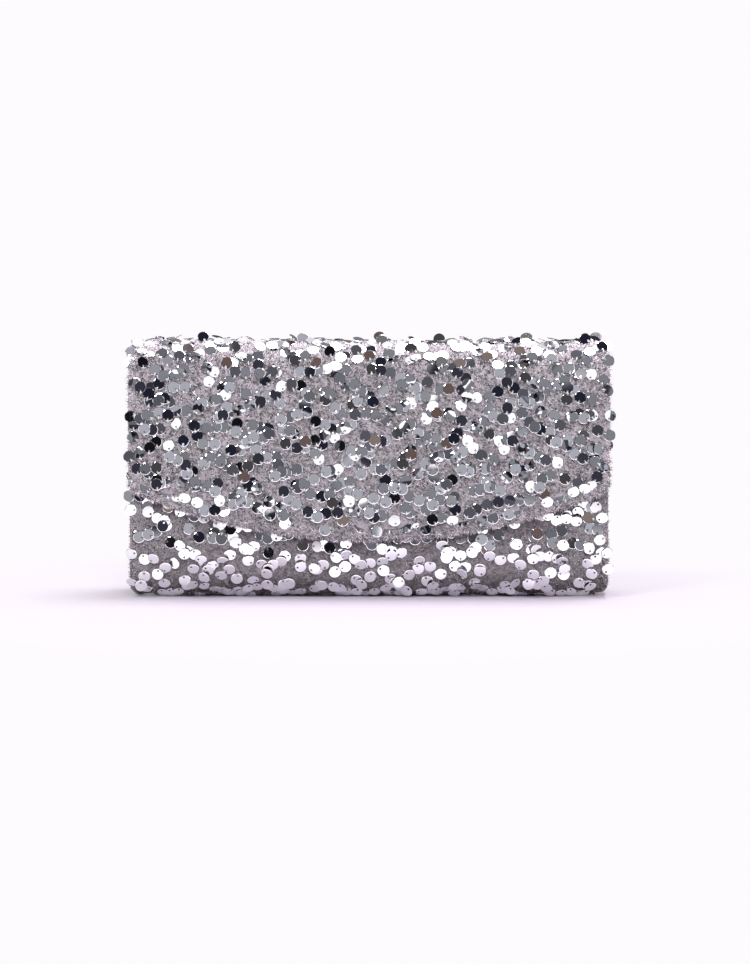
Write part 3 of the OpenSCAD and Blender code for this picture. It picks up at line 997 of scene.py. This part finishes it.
class DiscField:
    """Discs placed one by one, each lifted or laid flatter until it clears the earlier ones."""

    def __init__(self):
        self.count = 0
        self.centre = np.zeros((MOST_DISCS, 3))
        self.axes = np.zeros((MOST_DISCS, 3, 3))
        self.rims = np.zeros((MOST_DISCS, RIM_POINTS, 3))
        self.curve = np.zeros(MOST_DISCS)
        self.bent = np.zeros(MOST_DISCS, bool)
        self.panel = []

    def pose(self, place, normal, across, up, tilt, lift):
        pitch, yaw, hang = (math.radians(a) for a in tilt)
        n = unit(normal + up * math.tan(pitch) + across * math.tan(yaw))
        way = up * math.cos(hang) + across * math.sin(hang)
        u = unit(way - n * (way @ n))
        v = np.cross(n, u)
        centre = place + normal * lift + u * SEQUIN_HOLE_AT
        rim = centre + SEQUIN_R * (RIM_COS * u + RIM_SIN * v)
        return centre, np.array([u, v, n]), rim

    def clears(self, centre, axes, rim, curve):
        near = np.flatnonzero(
            np.sum((self.centre[: self.count] - centre) ** 2, axis=1) < (2 * SEQUIN_R) ** 2)
        if not len(near):
            return True
        reach = (SEQUIN_R + 0.06) ** 2
        to_rims = self.rims[near] - centre
        above = to_rims @ axes[2]
        inside = np.sum(to_rims**2, axis=2) - above**2 < reach
        back = rim[None] - self.centre[near][:, None]
        below = -np.einsum("ijk,ik->ij", back, self.axes[near, 2])
        under = np.sum(back**2, axis=2) - below**2 < reach
        need = (DISC_CLEAR + curve + self.curve[near])[:, None]
        over, beneath = (
            np.all(((way * above > need) | ~inside) & ((way * below > need) | ~under), axis=1)
            for way in (1, -1))
        return bool(np.all(over | beneath))

    def add(self, panel, x, s, tilt):
        place, normal, across, up = (np.array(v) for v in surface(np.array(x), np.array(s)))
        room = disc_room(x, s)
        curved = rng.random()
        curve = 0.0
        if curved < CURVED_SHARE and room == OPEN_ROOM:
            curve = rng.uniform(*CURVES)
        lift = FIRST_LIFT
        for _ in range(TRIES):
            centre, axes, rim = self.pose(place, normal, across, up, tilt, lift)
            height = (rim - place) @ normal
            low = min(height.min() - RIM_OVER_CLOTH, rim[:, 2].min() - RIM_OVER_FLOOR)
            if low < 0:
                lift += max(-low, 0.05)
            elif self.clears(centre, axes, rim, curve) and height.max() + curve < room:
                break
            else:
                lift += LIFT_STEP
            if lift > MOST_LIFT or (rim[:, 2].min() < 0.03 and lift > 1.0) or height.max() > room:
                tilt = (tilt[0] * 0.5, tilt[1] * 0.5, tilt[2])
                lift = FLATTER_LIFT
        else:
            return
        i = self.count
        self.centre[i], self.axes[i], self.rims[i], self.curve[i] = centre, axes, rim, curve
        self.bent[i] = curved < BENT_SHARE
        self.panel.append(panel)
        self.count += 1


discs = DiscField()
for panel in PANELS:
    for x, s in chains(panel):
        discs.add(panel, x, s, lie(panel, x, s))
disc_panel = np.array(discs.panel)
DISC_POINTS, DISC_FACES = disc_template()


def store(obj, name, values):
    """Keeps a value for each point of a mesh, for its material."""
    points = obj.data.attributes.new(name, "FLOAT", "POINT").data
    points.foreach_set("value", values.astype(np.float32))


def hole_of(which):
    return discs.centre[which] - discs.axes[which, 0] * SEQUIN_HOLE_AT


def repeated(faces, count, points):
    """Arrays of faces for many copies of a small mesh that has that many points."""
    step = (np.arange(count) * points)[:, None, None]
    return [(f + step).reshape(-1, f.shape[1]) for f in faces]


def build_sequins(panel):
    which = np.flatnonzero(disc_panel == panel)
    u, v, h = DISC_POINTS.T
    radial = (u**2 + v**2) / SEQUIN_R**2
    shape = np.where(discs.bent[which][:, None], (u / SEQUIN_R) ** 2, radial)
    height = h + discs.curve[which][:, None] * (shape - 0.5)
    axes = discs.axes[which][:, None]
    points = (discs.centre[which][:, None] + u[:, None] * axes[:, :, 0]
              + v[:, None] * axes[:, :, 1] + height[..., None] * axes[:, :, 2])
    faces = repeated(DISC_FACES, len(which), len(DISC_POINTS))
    obj = make_object("sequins_" + panel, points.reshape(-1, 3), faces, SEQUIN, SEQUIN_SHARP)
    store(obj, "tone", np.repeat(rng.random(len(which)), len(DISC_POINTS)))
    move_with(obj, panel, np.repeat(fold_weight(panel, hole_of(which)), len(DISC_POINTS)))


THREAD_R = 0.1
THREAD_SIDE = np.array([0.31, 0.74, 0.59])      # any direction that threads seldom run along
SILVER_SHARE = {"front": 0.25, "back": 0.85, "flap": 0.92}      # sequins sewn with silver thread
FAN = (-20, -10, 0, 10, 20)     # directions of the silver threads on one sequin, in degrees


def strands(paths, radius):
    """Points and faces of thin three-sided closed strands along paths of (strand, point, xyz)."""
    count, length = paths.shape[:2]
    along = unit(np.gradient(paths, axis=1))
    side = unit(np.cross(along, THREAD_SIDE))
    other = np.cross(along, side)
    angle = np.arange(3) * 2 * math.pi / 3
    thick = radius * np.array([0.75] + [1.0] * (length - 2) + [0.45])
    ring_at = np.cos(angle)[:, None] * side[:, :, None] + np.sin(angle)[:, None] * other[:, :, None]
    points = paths[:, :, None] + ring_at * thick[None, :, None, None]
    i, j = np.meshgrid(np.arange(length - 1), np.arange(3), indexing="ij")
    quads = np.stack([i * 3 + j, i * 3 + (j + 1) % 3, (i + 1) * 3 + (j + 1) % 3, (i + 1) * 3 + j],
                     axis=-1).reshape(-1, 4)
    last = (length - 1) * 3
    ends = np.array([[2, 1, 0], [last, last + 1, last + 2]])
    return points.reshape(-1, 3), repeated([quads, ends], count, length * 3)


def silver_fan(i):
    """Silver threads that fan out from a hole, over the disc's rim and into the pile."""
    u, v, n = discs.axes[i]
    hole = hole_of(i)
    top = SEQUIN_T + 0.13
    for swing in FAN:
        turn = math.radians(180 + swing + rng.normal(0, 6))
        way = u * math.cos(turn) + v * math.sin(turn)
        reach = rng.uniform(1.4, 2.3)
        yield [hole - n * 0.25 + u * 0.15, hole + way * 0.2 + n * top,
               hole + way * 1.15 + n * (top - 0.02), hole + way * reach - n * rng.uniform(0.05, 0.5)]


def plain_stitch(i):
    """One sewing thread, up through the hole and down over the disc's rim."""
    u, _, n = discs.axes[i]
    hole = hole_of(i)
    yield [hole - n * 0.45 - u * 0.2, hole - u * 0.42 + n * 0.12, hole - u * 1.2 + n * 0.2,
           hole - u * 1.6 - n * 0.35]


def build_threads(name, which, pattern, material, slot, panel):
    paths = [(i, path) for i in which for path in pattern(i)]
    owners = np.array([i for i, _ in paths])
    paths = np.array([path for _, path in paths])
    paths[..., 2] = np.maximum(paths[..., 2], THREAD_R + 0.03)
    points, faces = strands(paths, THREAD_R)
    obj = make_object(name, points, faces, material)
    weights = fold_weight(panel, hole_of(owners))
    move_with(obj, panel, np.repeat(weights, len(points) // len(paths)))


def build_all_threads(panel):
    silver = rng.random(discs.count) < SILVER_SHARE[panel]
    for name, chosen, pattern, material, slot in (
        ("silver_thread_", silver, silver_fan, THREAD_SILVER, "sequin"),
        ("sewing_thread_", ~silver, plain_stitch, THREAD, "satin_lining"),
    ):
        which = np.flatnonzero((disc_panel == panel) & chosen)
        build_threads(name + panel, which, pattern, material, slot, panel)


# Pile: short tufts standing on the velvet, crushed this way and that
EDGE_PILE = 3.2                 # millimetres of flat velvet with as much pile as a rolled edge
CLUMP = 1.05                    # the pile sticks together in small clumps
TUFT_SIDE = np.array([0.2, 0.5, 0.84])          # any direction that the velvet seldom faces
TUFT_FACES = [np.array([[2, 1, 0], [0, 1, 3], [1, 2, 3], [2, 0, 3]])]
LENGTHS, WIDTHS = (0.7, 1.15), (0.75, 1.3)      # how much tufts differ
SNAP_BARE = 9.3                 # no pile stands that near to the middle of the snap
GUSSET_TUFTS = 13000
GUSSET_PILE = (1.7, 0.25)       # length and width of the gussets' tufts


def pile_spots(panel, density):
    """Random places over a panel, and more of them round its rolled edges."""
    start, stop = PANELS[panel]
    low, high = span_of(start, stop)

    def spread(number):
        return rng.uniform(-WIDTH / 2, WIDTH / 2, number)

    def from_edge(number):
        """Distances from an edge that are even round its roll."""
        return TRAY_T / 2 * (1 - np.sin(rng.uniform(0, math.pi / 2, number)))

    count = int((high - low) * WIDTH * density)
    x, s = spread(count), rng.uniform(low, high, count)
    rim = int((high - low) * density * EDGE_PILE)
    side = rng.choice([-1, 1], rim)
    s_rim = rng.uniform(low, high, rim)
    x = np.concatenate([x, side * (half_width(s_rim) - from_edge(rim))])
    s = np.concatenate([s, s_rim])
    ends = int(WIDTH * density * EDGE_PILE)
    x_end = spread(ends)
    gap = from_edge(ends)
    for edge, inward in ((start, 1), (stop, -1)):
        if callable(edge):
            x = np.concatenate([x, x_end])
            s = np.concatenate([s, edge(x_end) + inward * gap])
    on_panel = half_width(s) > np.abs(x)
    for edge, inward in ((start, 1), (stop, -1)):
        if callable(edge):
            on_panel &= inward * (s - edge(x)) > 0
    return x[on_panel], s[on_panel]


def tuft_points(place, normal, lean, length, width):
    """Closed four-sided tufts: three points at the foot and one at the tip."""
    long = length * rng.uniform(*LENGTHS, (len(place), 1))
    wide = width * rng.uniform(*WIDTHS, (len(place), 1))
    tip = place + long * unit(normal + lean)
    across = unit(np.cross(normal, TUFT_SIDE))
    other = np.cross(normal, across)
    spin = rng.uniform(0, 2 * math.pi, len(place))
    feet = [
        place - 0.06 * normal + wide * (np.cos(a)[:, None] * across + np.sin(a)[:, None] * other)
        for a in (spin + k * 2 * math.pi / 3 for k in range(3))
    ]
    return np.stack([*feet, tip], axis=1)


def clumped(x, s):
    """For each tuft: the way to the middle of its clump, and the clump's own tone and lean."""
    wobble = 0.35 * CLUMP
    u = (x + wobble * np.sin(2.3 * s + 0.7 * x)) / CLUMP
    v = (s + wobble * np.sin(2.9 * x + 1.3 * s)) / CLUMP
    u0, v0 = np.floor(u).astype(int), np.floor(v).astype(int)
    size = 512
    table = np.random.default_rng(7).random((size, size, 3))
    return (u0 + 0.5 - u) * CLUMP, (v0 + 0.5 - v) * CLUMP, table[u0 % size, v0 % size]


def off_axis(points, heights):
    """Distances from a disc's axis, of points whose heights along it are known."""
    return np.sqrt(np.maximum(np.sum(points**2, axis=1) - heights**2, 0))


def clear_of_discs(tufts, x):
    """Which tufts don't run through a disc, or lie hidden right under one."""
    order = np.argsort(x)
    sorted_x = x[order]
    keep = np.ones(len(x), bool)
    foot, tip = tufts[:, :3].mean(axis=1), tufts[:, 3]
    within, near_squared = 4.6, 21          # tufts further from a disc's centre don't touch it
    wide, narrow = SEQUIN_R + 0.1, SEQUIN_R - 0.7
    for centre, (_, _, n) in zip(discs.centre[:discs.count], discs.axes):
        a, b = np.searchsorted(sorted_x, [centre[0] - within, centre[0] + within])
        near = order[a:b]
        near = near[np.sum((foot[near] - centre) ** 2, axis=1) < near_squared]
        if not len(near):
            continue
        to_foot, to_tip = foot[near] - centre, tip[near] - centre
        h0, h1 = to_foot @ n, to_tip @ n
        t = np.clip(h0 / np.where(np.abs(h0 - h1) < 1e-9, 1, h0 - h1), 0, 1)
        cross = to_foot + (to_tip - to_foot) * t[:, None]
        cross_r = np.linalg.norm(cross - n * (cross @ n)[:, None], axis=1)
        r0, r1 = off_axis(to_foot, h0), off_axis(to_tip, h1)
        through = (h0 < 0) & (h1 > -0.12) & (cross_r < wide)
        hidden = (h0 < 0) & (h1 < 0) & (r0 < narrow) & (r1 < narrow)
        on_top = (h0 >= 0) & (h0 < 1) & (r0 < wide)
        keep[near[through | hidden | on_top]] = False
    return keep


def build_pile(name, panel, density, length, width, material, zone):
    x, s = pile_spots(panel, density)
    chosen = zone(s)
    x, s = x[chosen], s[chosen]
    radius = TRAY_T / 2
    side_gap = half_width(s) - np.abs(x)
    gap = free_gap(x, s)
    turned = np.clip(1 - gap / radius, 0, 1)
    place = skin(x, s, radius * (1 - np.sqrt(1 - turned**2)))
    _, normal, across, up = surface(x, s)
    down = up * np.where((s > AT["base_front"]) & (s < APEX), 1, -1)[:, None]
    along_x = np.array([1.0, 0, 0])
    edge_way = np.where((side_gap <= gap + 1e-6)[:, None], along_x * np.sign(x)[:, None],
                        down * np.where(s < AT["foot"], -1, 1)[:, None])
    normal = unit(normal * np.sqrt(1 - turned**2)[:, None] + edge_way * turned[:, None])
    # It leans in broad swirls and fine ones, by clumps, and into the middle of its clump.
    to_x, to_s, clump = clumped(x, s)
    flow = 1.9 * ripple(3.1 * x, 2.7 * s) + 1.1 * ripple(7 * x + 9, 8 * s) + 2.2 * clump[:, 1]
    bend = 0.45 + 0.3 * ripple(5 * x + 50, 6 * s) + 0.7 * clump[:, 2]
    lean = (across * np.cos(flow)[:, None] + up * np.sin(flow)[:, None] * 0.8) * bend[:, None]
    gather = along_x * to_x[:, None] + down * to_s[:, None]
    lean = lean + 1.1 * gather / length + rng.normal(0, 0.28, (len(x), 3))
    tufts = tuft_points(place, normal, lean, length, width)
    tufts[..., 2] = np.maximum(tufts[..., 2], 0.02)
    keep = tufts[:, 3, 2] > 0.03
    if panel == "front":
        keep &= from_snap(x, s) > SNAP_BARE
    keep &= clear_of_discs(tufts, x)
    tufts, x, s = tufts[keep], x[keep], s[keep]
    # painted highlight: the tufts are lighter along the rolled free edges and along the top, where
    # the pile catches the light
    edge_and_top_highlight = 0.4 * bump(gap[keep], 0, 2.2) + 0.45 * smooth((on_path(s)[1] - HEIGHT + 12) / 10)
    tone = 0.6 * clump[keep, 0] + 0.4 * rng.random(len(tufts)) + edge_and_top_highlight
    obj = finish_pile(name, tufts, tone, material)
    move_with(obj, panel, np.repeat(fold_weight(panel, skin(x, s)), 4))


def finish_pile(name, tufts, tone, material):
    faces = repeated(TUFT_FACES, len(tufts), 4)
    obj = make_object(name, tufts.reshape(-1, 3), faces, material, sharp=0)
    # tip runs from 0 at the foot to 1 at the tip; the pile material paints shade at the foot from it
    store(obj, "tip", np.tile([0.0, 0.0, 0.0, 1.0], len(tufts)))
    store(obj, "tone", np.repeat(tone, 4))
    return obj


def low_front(s):
    return on_path(s)[1] < FLAP_Z + 10


PILES = [
    # name, panel, tufts to a square millimetre, length, width, material, zone
    ("pile_flap", "flap", 1.8, 2.0, 0.26, LIGHT_PILE, lambda s: s > AT["fold"] - 6),
    ("pile_top", "flap", 1.8, 1.5, 0.26, LIGHT_PILE, lambda s: s <= AT["fold"] - 6),
    # painted shade: the front wall's pile uses the shaded copy of the velvet
    ("pile_low", "front", 2.4, 1.5, 0.21, SHADED_PILE, low_front),
    ("pile_under_flap", "front", 1.9, 1.4, 0.24, SHADED_PILE, lambda s: ~low_front(s)),
    ("pile_back", "back", 1.7, 1.7, 0.24, LIGHT_PILE, lambda s: s > AT["back_foot"]),
    ("pile_base", "back", 0.5, 1.2, 0.2, LIGHT_PILE, lambda s: s <= AT["back_foot"]),
]
for panel in PANELS:
    build_sequins(panel)
    build_all_threads(panel)
for pile in PILES:
    build_pile(*pile)


def build_gusset_pile(side_name, side):
    grid = gusset_grid(0.0)
    i, j = (rng.uniform(0, size - 1.001, GUSSET_TUFTS) for size in grid.shape[:2])
    i0, j0 = i.astype(int), j.astype(int)
    fi, fj = (i - i0)[:, None], (j - j0)[:, None]
    a, b = grid[i0, j0], grid[i0, j0 + 1]
    c, d = grid[i0 + 1, j0], grid[i0 + 1, j0 + 1]
    place = (a * (1 - fj) + b * fj) * (1 - fi) + (c * (1 - fj) + d * fj) * fi
    normal = unit(np.cross(b - a, c - a))
    normal = normal * np.sign(normal[:, :1])
    clump = clumped(place[:, 1], place[:, 2])[2]
    down = np.array([0, 0.5, -1.0])
    lean = rng.normal(0, 0.35, place.shape) + down * (0.4 + clump[:, :1])
    tufts = tuft_points(place, normal, lean, *GUSSET_PILE)
    tufts[..., 0] *= side
    if side < 0:
        tufts = tufts[:, [1, 0, 2, 3]]
    tone = 0.1 + 0.6 * clump[:, 0] + 0.4 * rng.random(len(tufts))
    obj = finish_pile("pile_gusset_" + side_name, tufts, tone, LIGHT_PILE)
    move_gusset(obj, np.repeat(tufts[:, 0], 4, axis=0))


for side_name, side in GUSSET_SIDES.items():
    build_gusset_pile(side_name, side)


# Stitches along the linings' edges and round the pocket
STITCH_PITCH = 3.2
STITCH_LENGTH = 2.3
STITCH_R = 0.17
# Along a stitch, from -1 at one end to 1 at the other, and how deep it lies in the cloth.
STITCH_SHAPE = [(-1, 0.16), (-0.75, -0.02), (0, -0.1), (0.75, -0.02), (1, 0.16)]


def resampled(line, pitch):
    """Places about a pitch apart along a line of (x, s) points, and the direction at each."""
    line = np.asarray(line, float)
    length = np.concatenate([[0], np.cumsum(np.hypot(*np.diff(line, axis=0).T))])
    at = np.arange(pitch, length[-1] - pitch / 2, pitch)
    place = np.stack([np.interp(at, length, line[:, k]) for k in (0, 1)], axis=-1)
    ahead = np.stack([np.interp(at + 0.3, length, line[:, k]) for k in (0, 1)], axis=-1)
    return place, unit(ahead - place)


def build_stitches(name, lines, depth):
    """Thread stitches on the inner side of a panel, along lines of (x, s) points."""
    stitches = []
    for line in lines:
        place, way = resampled(line, STITCH_PITCH)
        path = []
        for t, sink in STITCH_SHAPE:
            x, s = (place + way * STITCH_LENGTH / 2 * t).T
            path.append(skin(x, s, depth(x, s) - sink, 0))
        stitches.append(np.stack(path, axis=1))
    points, faces = strands(np.concatenate(stitches), STITCH_R)
    return make_object(name, points, faces, THREAD, sharp=0), points


def edge_lines(panel, inset):
    """Lines beside a panel's free edges."""
    start, stop = PANELS[panel]
    if panel == "back":
        s = np.linspace(start, stop, 160)
        x = half_width(s) - inset
        return [np.column_stack([x, s]), np.column_stack([-x, s])]
    edge, fixed, inward = (start, stop, 1) if panel == "front" else (stop, start, -1)
    x = np.linspace(-1, 1, 120) * (WIDTH / 2 - inset - 1.5)
    end = edge(x) + inward * inset
    sides = np.linspace(fixed, end[0] + inward * 1.5, 100)
    half = half_width(sides) - inset
    left = np.column_stack([-half, sides])
    right = np.column_stack([half, sides])[::-1]
    return [np.concatenate([left, np.column_stack([x, end]), right])]


for panel in PANELS:
    seam, points = build_stitches("stitches_" + panel, edge_lines(panel, HEM_W + 0.1),
                                  lambda x, s: WALL + LAYER_GAP + 0 * x)
    move_with(seam, panel, fold_weight(panel, points))

half, top = POCKET_W / 2 - 1.2, POCKET_LOW + POCKET_H
seam, _ = build_stitches(
    "pocket_stitches",
    [[(-half, top), (-half, POCKET_LOW + 1.2), (half, POCKET_LOW + 1.2), (half, top)],
     [(-half, top - POCKET_HEM + 1.5), (half, top - POCKET_HEM + 1.5)]],
    lambda x, s: pocket_depth(x, s) + POCKET_T * np.where(s > top - POCKET_HEM, 2, 1) + LAYER_GAP)
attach(seam, "bag")


# Studio: a pale floor, soft light all round, and a darker room ahead for the sequins to mirror
FLOOR_NEAR = (0.63, 0.57, 0.66)
FLOOR_FAR = (0.99, 0.965, 0.99)
FLOOR_BOUNCE = 0.32             # how much of its colour the floor throws back up at the bag
FLOOR_FADE = (0.09, 0.25)       # over these metres from the middle it turns to the far colour
MIRROR_GLOW = (0.028, 0.055)    # in mirrors it begins to glow this far ahead and behind,
MIRROR_END = (0.17, 0.26)       # and is gone at this distance
FLOOR_HALF = 3.0
LIT_PLACE = (0, 0, 0.06)
SKY_AIM = (0.0, 0.4, 0.917)     # the middle of the bright patch overhead
SKY_EDGE = (0.945, 0.975)       # cosines of the angles from there at which it ends and is whole
SOFT_BOXES = ((0.60, 0.09), (-0.78, 0.06))      # bands at the sides: their x, and half their width
SOFT_LIGHT = (1.22, 1.2, 1.25)
ROOM_CELLS = 8.5                # how finely the mirrored room is broken up
ROOM_TONES = [
    (0.00, (0.008, 0.008, 0.010)), (0.08, (0.016, 0.017, 0.030)), (0.19, (0.037, 0.036, 0.052)),
    (0.28, (0.062, 0.060, 0.064)), (0.37, (0.10, 0.10, 0.12)), (0.47, (0.15, 0.152, 0.175)),
    (0.525, (0.24, 0.185, 0.165)), (0.55, (0.15, 0.152, 0.175)), (0.58, (0.20, 0.195, 0.20)),
    (0.66, (0.235, 0.238, 0.265)), (0.71, (0.15, 0.10, 0.09)), (0.73, (0.235, 0.238, 0.265)),
    (0.80, (0.32, 0.322, 0.35)), (0.90, (0.44, 0.44, 0.49)), (0.946, (0.16, 0.10, 0.08)),
    (0.955, (1.25, 1.23, 1.28)),
]


def build_world():
    world = bpy.data.worlds.new("studio")
    bpy.context.scene.world = world
    w = Nodes(world)
    w.nodes.clear()
    way = w.add("ShaderNodeTexCoord").outputs["Generated"]
    across = w.add("ShaderNodeSeparateXYZ", {0: way}).outputs["X"]
    overhead = w.add("ShaderNodeVectorMath", {0: way, 1: SKY_AIM}, operation="DOT_PRODUCT")
    cells = w.add("ShaderNodeTexVoronoi", {"Vector": way, "Scale": ROOM_CELLS, "Randomness": 1.0})
    pick = w.add("ShaderNodeSeparateColor", {0: cells.outputs["Color"]}).outputs["Red"]
    tones = w.ramp(pick, ROOM_TONES, "CONSTANT")
    left, right = (w.math("COMPARE", across, x, half) for x, half in SOFT_BOXES)
    sky = w.span(overhead.outputs["Value"], *SKY_EDGE)
    bright = w.math("MAXIMUM", sky, w.math("ADD", left, right))
    room = w.mix(bright, tones, (*SOFT_LIGHT, 1))
    even, seen, mirrored = (
        w.add("ShaderNodeBackground", {"Color": colour, "Strength": strength})
        for colour, strength in (((0.96, 0.95, 0.98, 1), 0.62), ((*FLOOR_FAR, 1), 1.0), (room, 1.0)))
    path = w.add("ShaderNodeLightPath")
    lighting = w.mix_shader(path.outputs["Is Glossy Ray"], even, mirrored)
    last = w.mix_shader(path.outputs["Is Camera Ray"], lighting, seen)
    w.links.new(last.outputs[0], w.add("ShaderNodeOutputWorld").inputs["Surface"])


def build_floor():
    mesh = bpy.data.meshes.new("floor")
    corners = ((-1, -1), (1, -1), (1, 1), (-1, 1))
    mesh.from_pydata([(x * FLOOR_HALF, y * FLOOR_HALF, 0) for x, y in corners], [], [(0, 1, 2, 3)])
    floor = bpy.data.objects.new("floor", mesh)
    bpy.context.scene.collection.objects.link(floor)
    m = Shader("floor_paper", Roughness=1.0, Specular_IOR_Level=0.0,
               Emission_Color=(1.0, 0.97, 1.0, 1))
    away = m.add("ShaderNodeVectorMath", {0: m.place}, operation="LENGTH").outputs["Value"]
    path = m.add("ShaderNodeLightPath")
    glossy = path.outputs["Is Glossy Ray"]
    m.set("Base Color", m.mix(path.outputs["Is Diffuse Ray"], (*FLOOR_NEAR, 1),
                              (*shade(FLOOR_NEAR, FLOOR_BOUNCE), 1)))
    ahead = m.add("ShaderNodeSeparateXYZ", {0: m.place}).outputs["Y"]
    glow = m.span(m.math("ABSOLUTE", ahead), *MIRROR_GLOW)
    m.set("Emission Strength", m.math("MULTIPLY", glossy, glow))
    plain = m.add("ShaderNodeEmission", {"Color": (*FLOOR_FAR, 1), "Strength": 1.0})
    paper = m.mix_shader(m.span(away, *FLOOR_FADE), m.main, plain)
    unseen = m.math("MULTIPLY", glossy, m.span(away, *MIRROR_END))
    last = m.mix_shader(unseen, paper, m.add("ShaderNodeBsdfTransparent"))
    m.links.new(last.outputs[0], m.nodes["Material Output"].inputs["Surface"])
    mesh.materials.append(m.material)


def placed(name, data, place, way):
    """An object for a lamp or a camera, which looks that way."""
    obj = bpy.data.objects.new(name, data)
    obj.location = place
    obj.rotation_euler = way.to_track_quat("-Z", "Y").to_euler()
    bpy.context.scene.collection.objects.link(obj)
    return obj


def add_light(name, place, size, energy, mirrored=True):
    light = bpy.data.lights.new(name, "AREA")
    light.size = size
    light.energy = energy
    placed(name, light, place, Vector(LIT_PLACE) - Vector(place)).visible_glossy = mirrored


def build_camera():
    elevation = math.radians(4)
    distance = 1.2
    target = Vector((0.003, -0.024, 0.059))
    data = bpy.data.cameras.new("camera")
    data.lens, data.sensor_width = 90, 36
    data.clip_start, data.clip_end = 0.01, 20
    back = Vector((0, -math.cos(elevation), math.sin(elevation)))
    bpy.context.scene.camera = placed("camera", data, target + back * distance, -back)


build_world()
build_floor()
add_light("key", (-0.9, -1.2, 1.5), 0.5, 15)
add_light("top", (0.3, 0.1, 1.6), 0.75, 20)
add_light("front", (0.3, -2.1, 1.0), 0.6, 23, mirrored=False)
build_camera()
bpy.context.scene.view_settings.view_transform = "Standard"
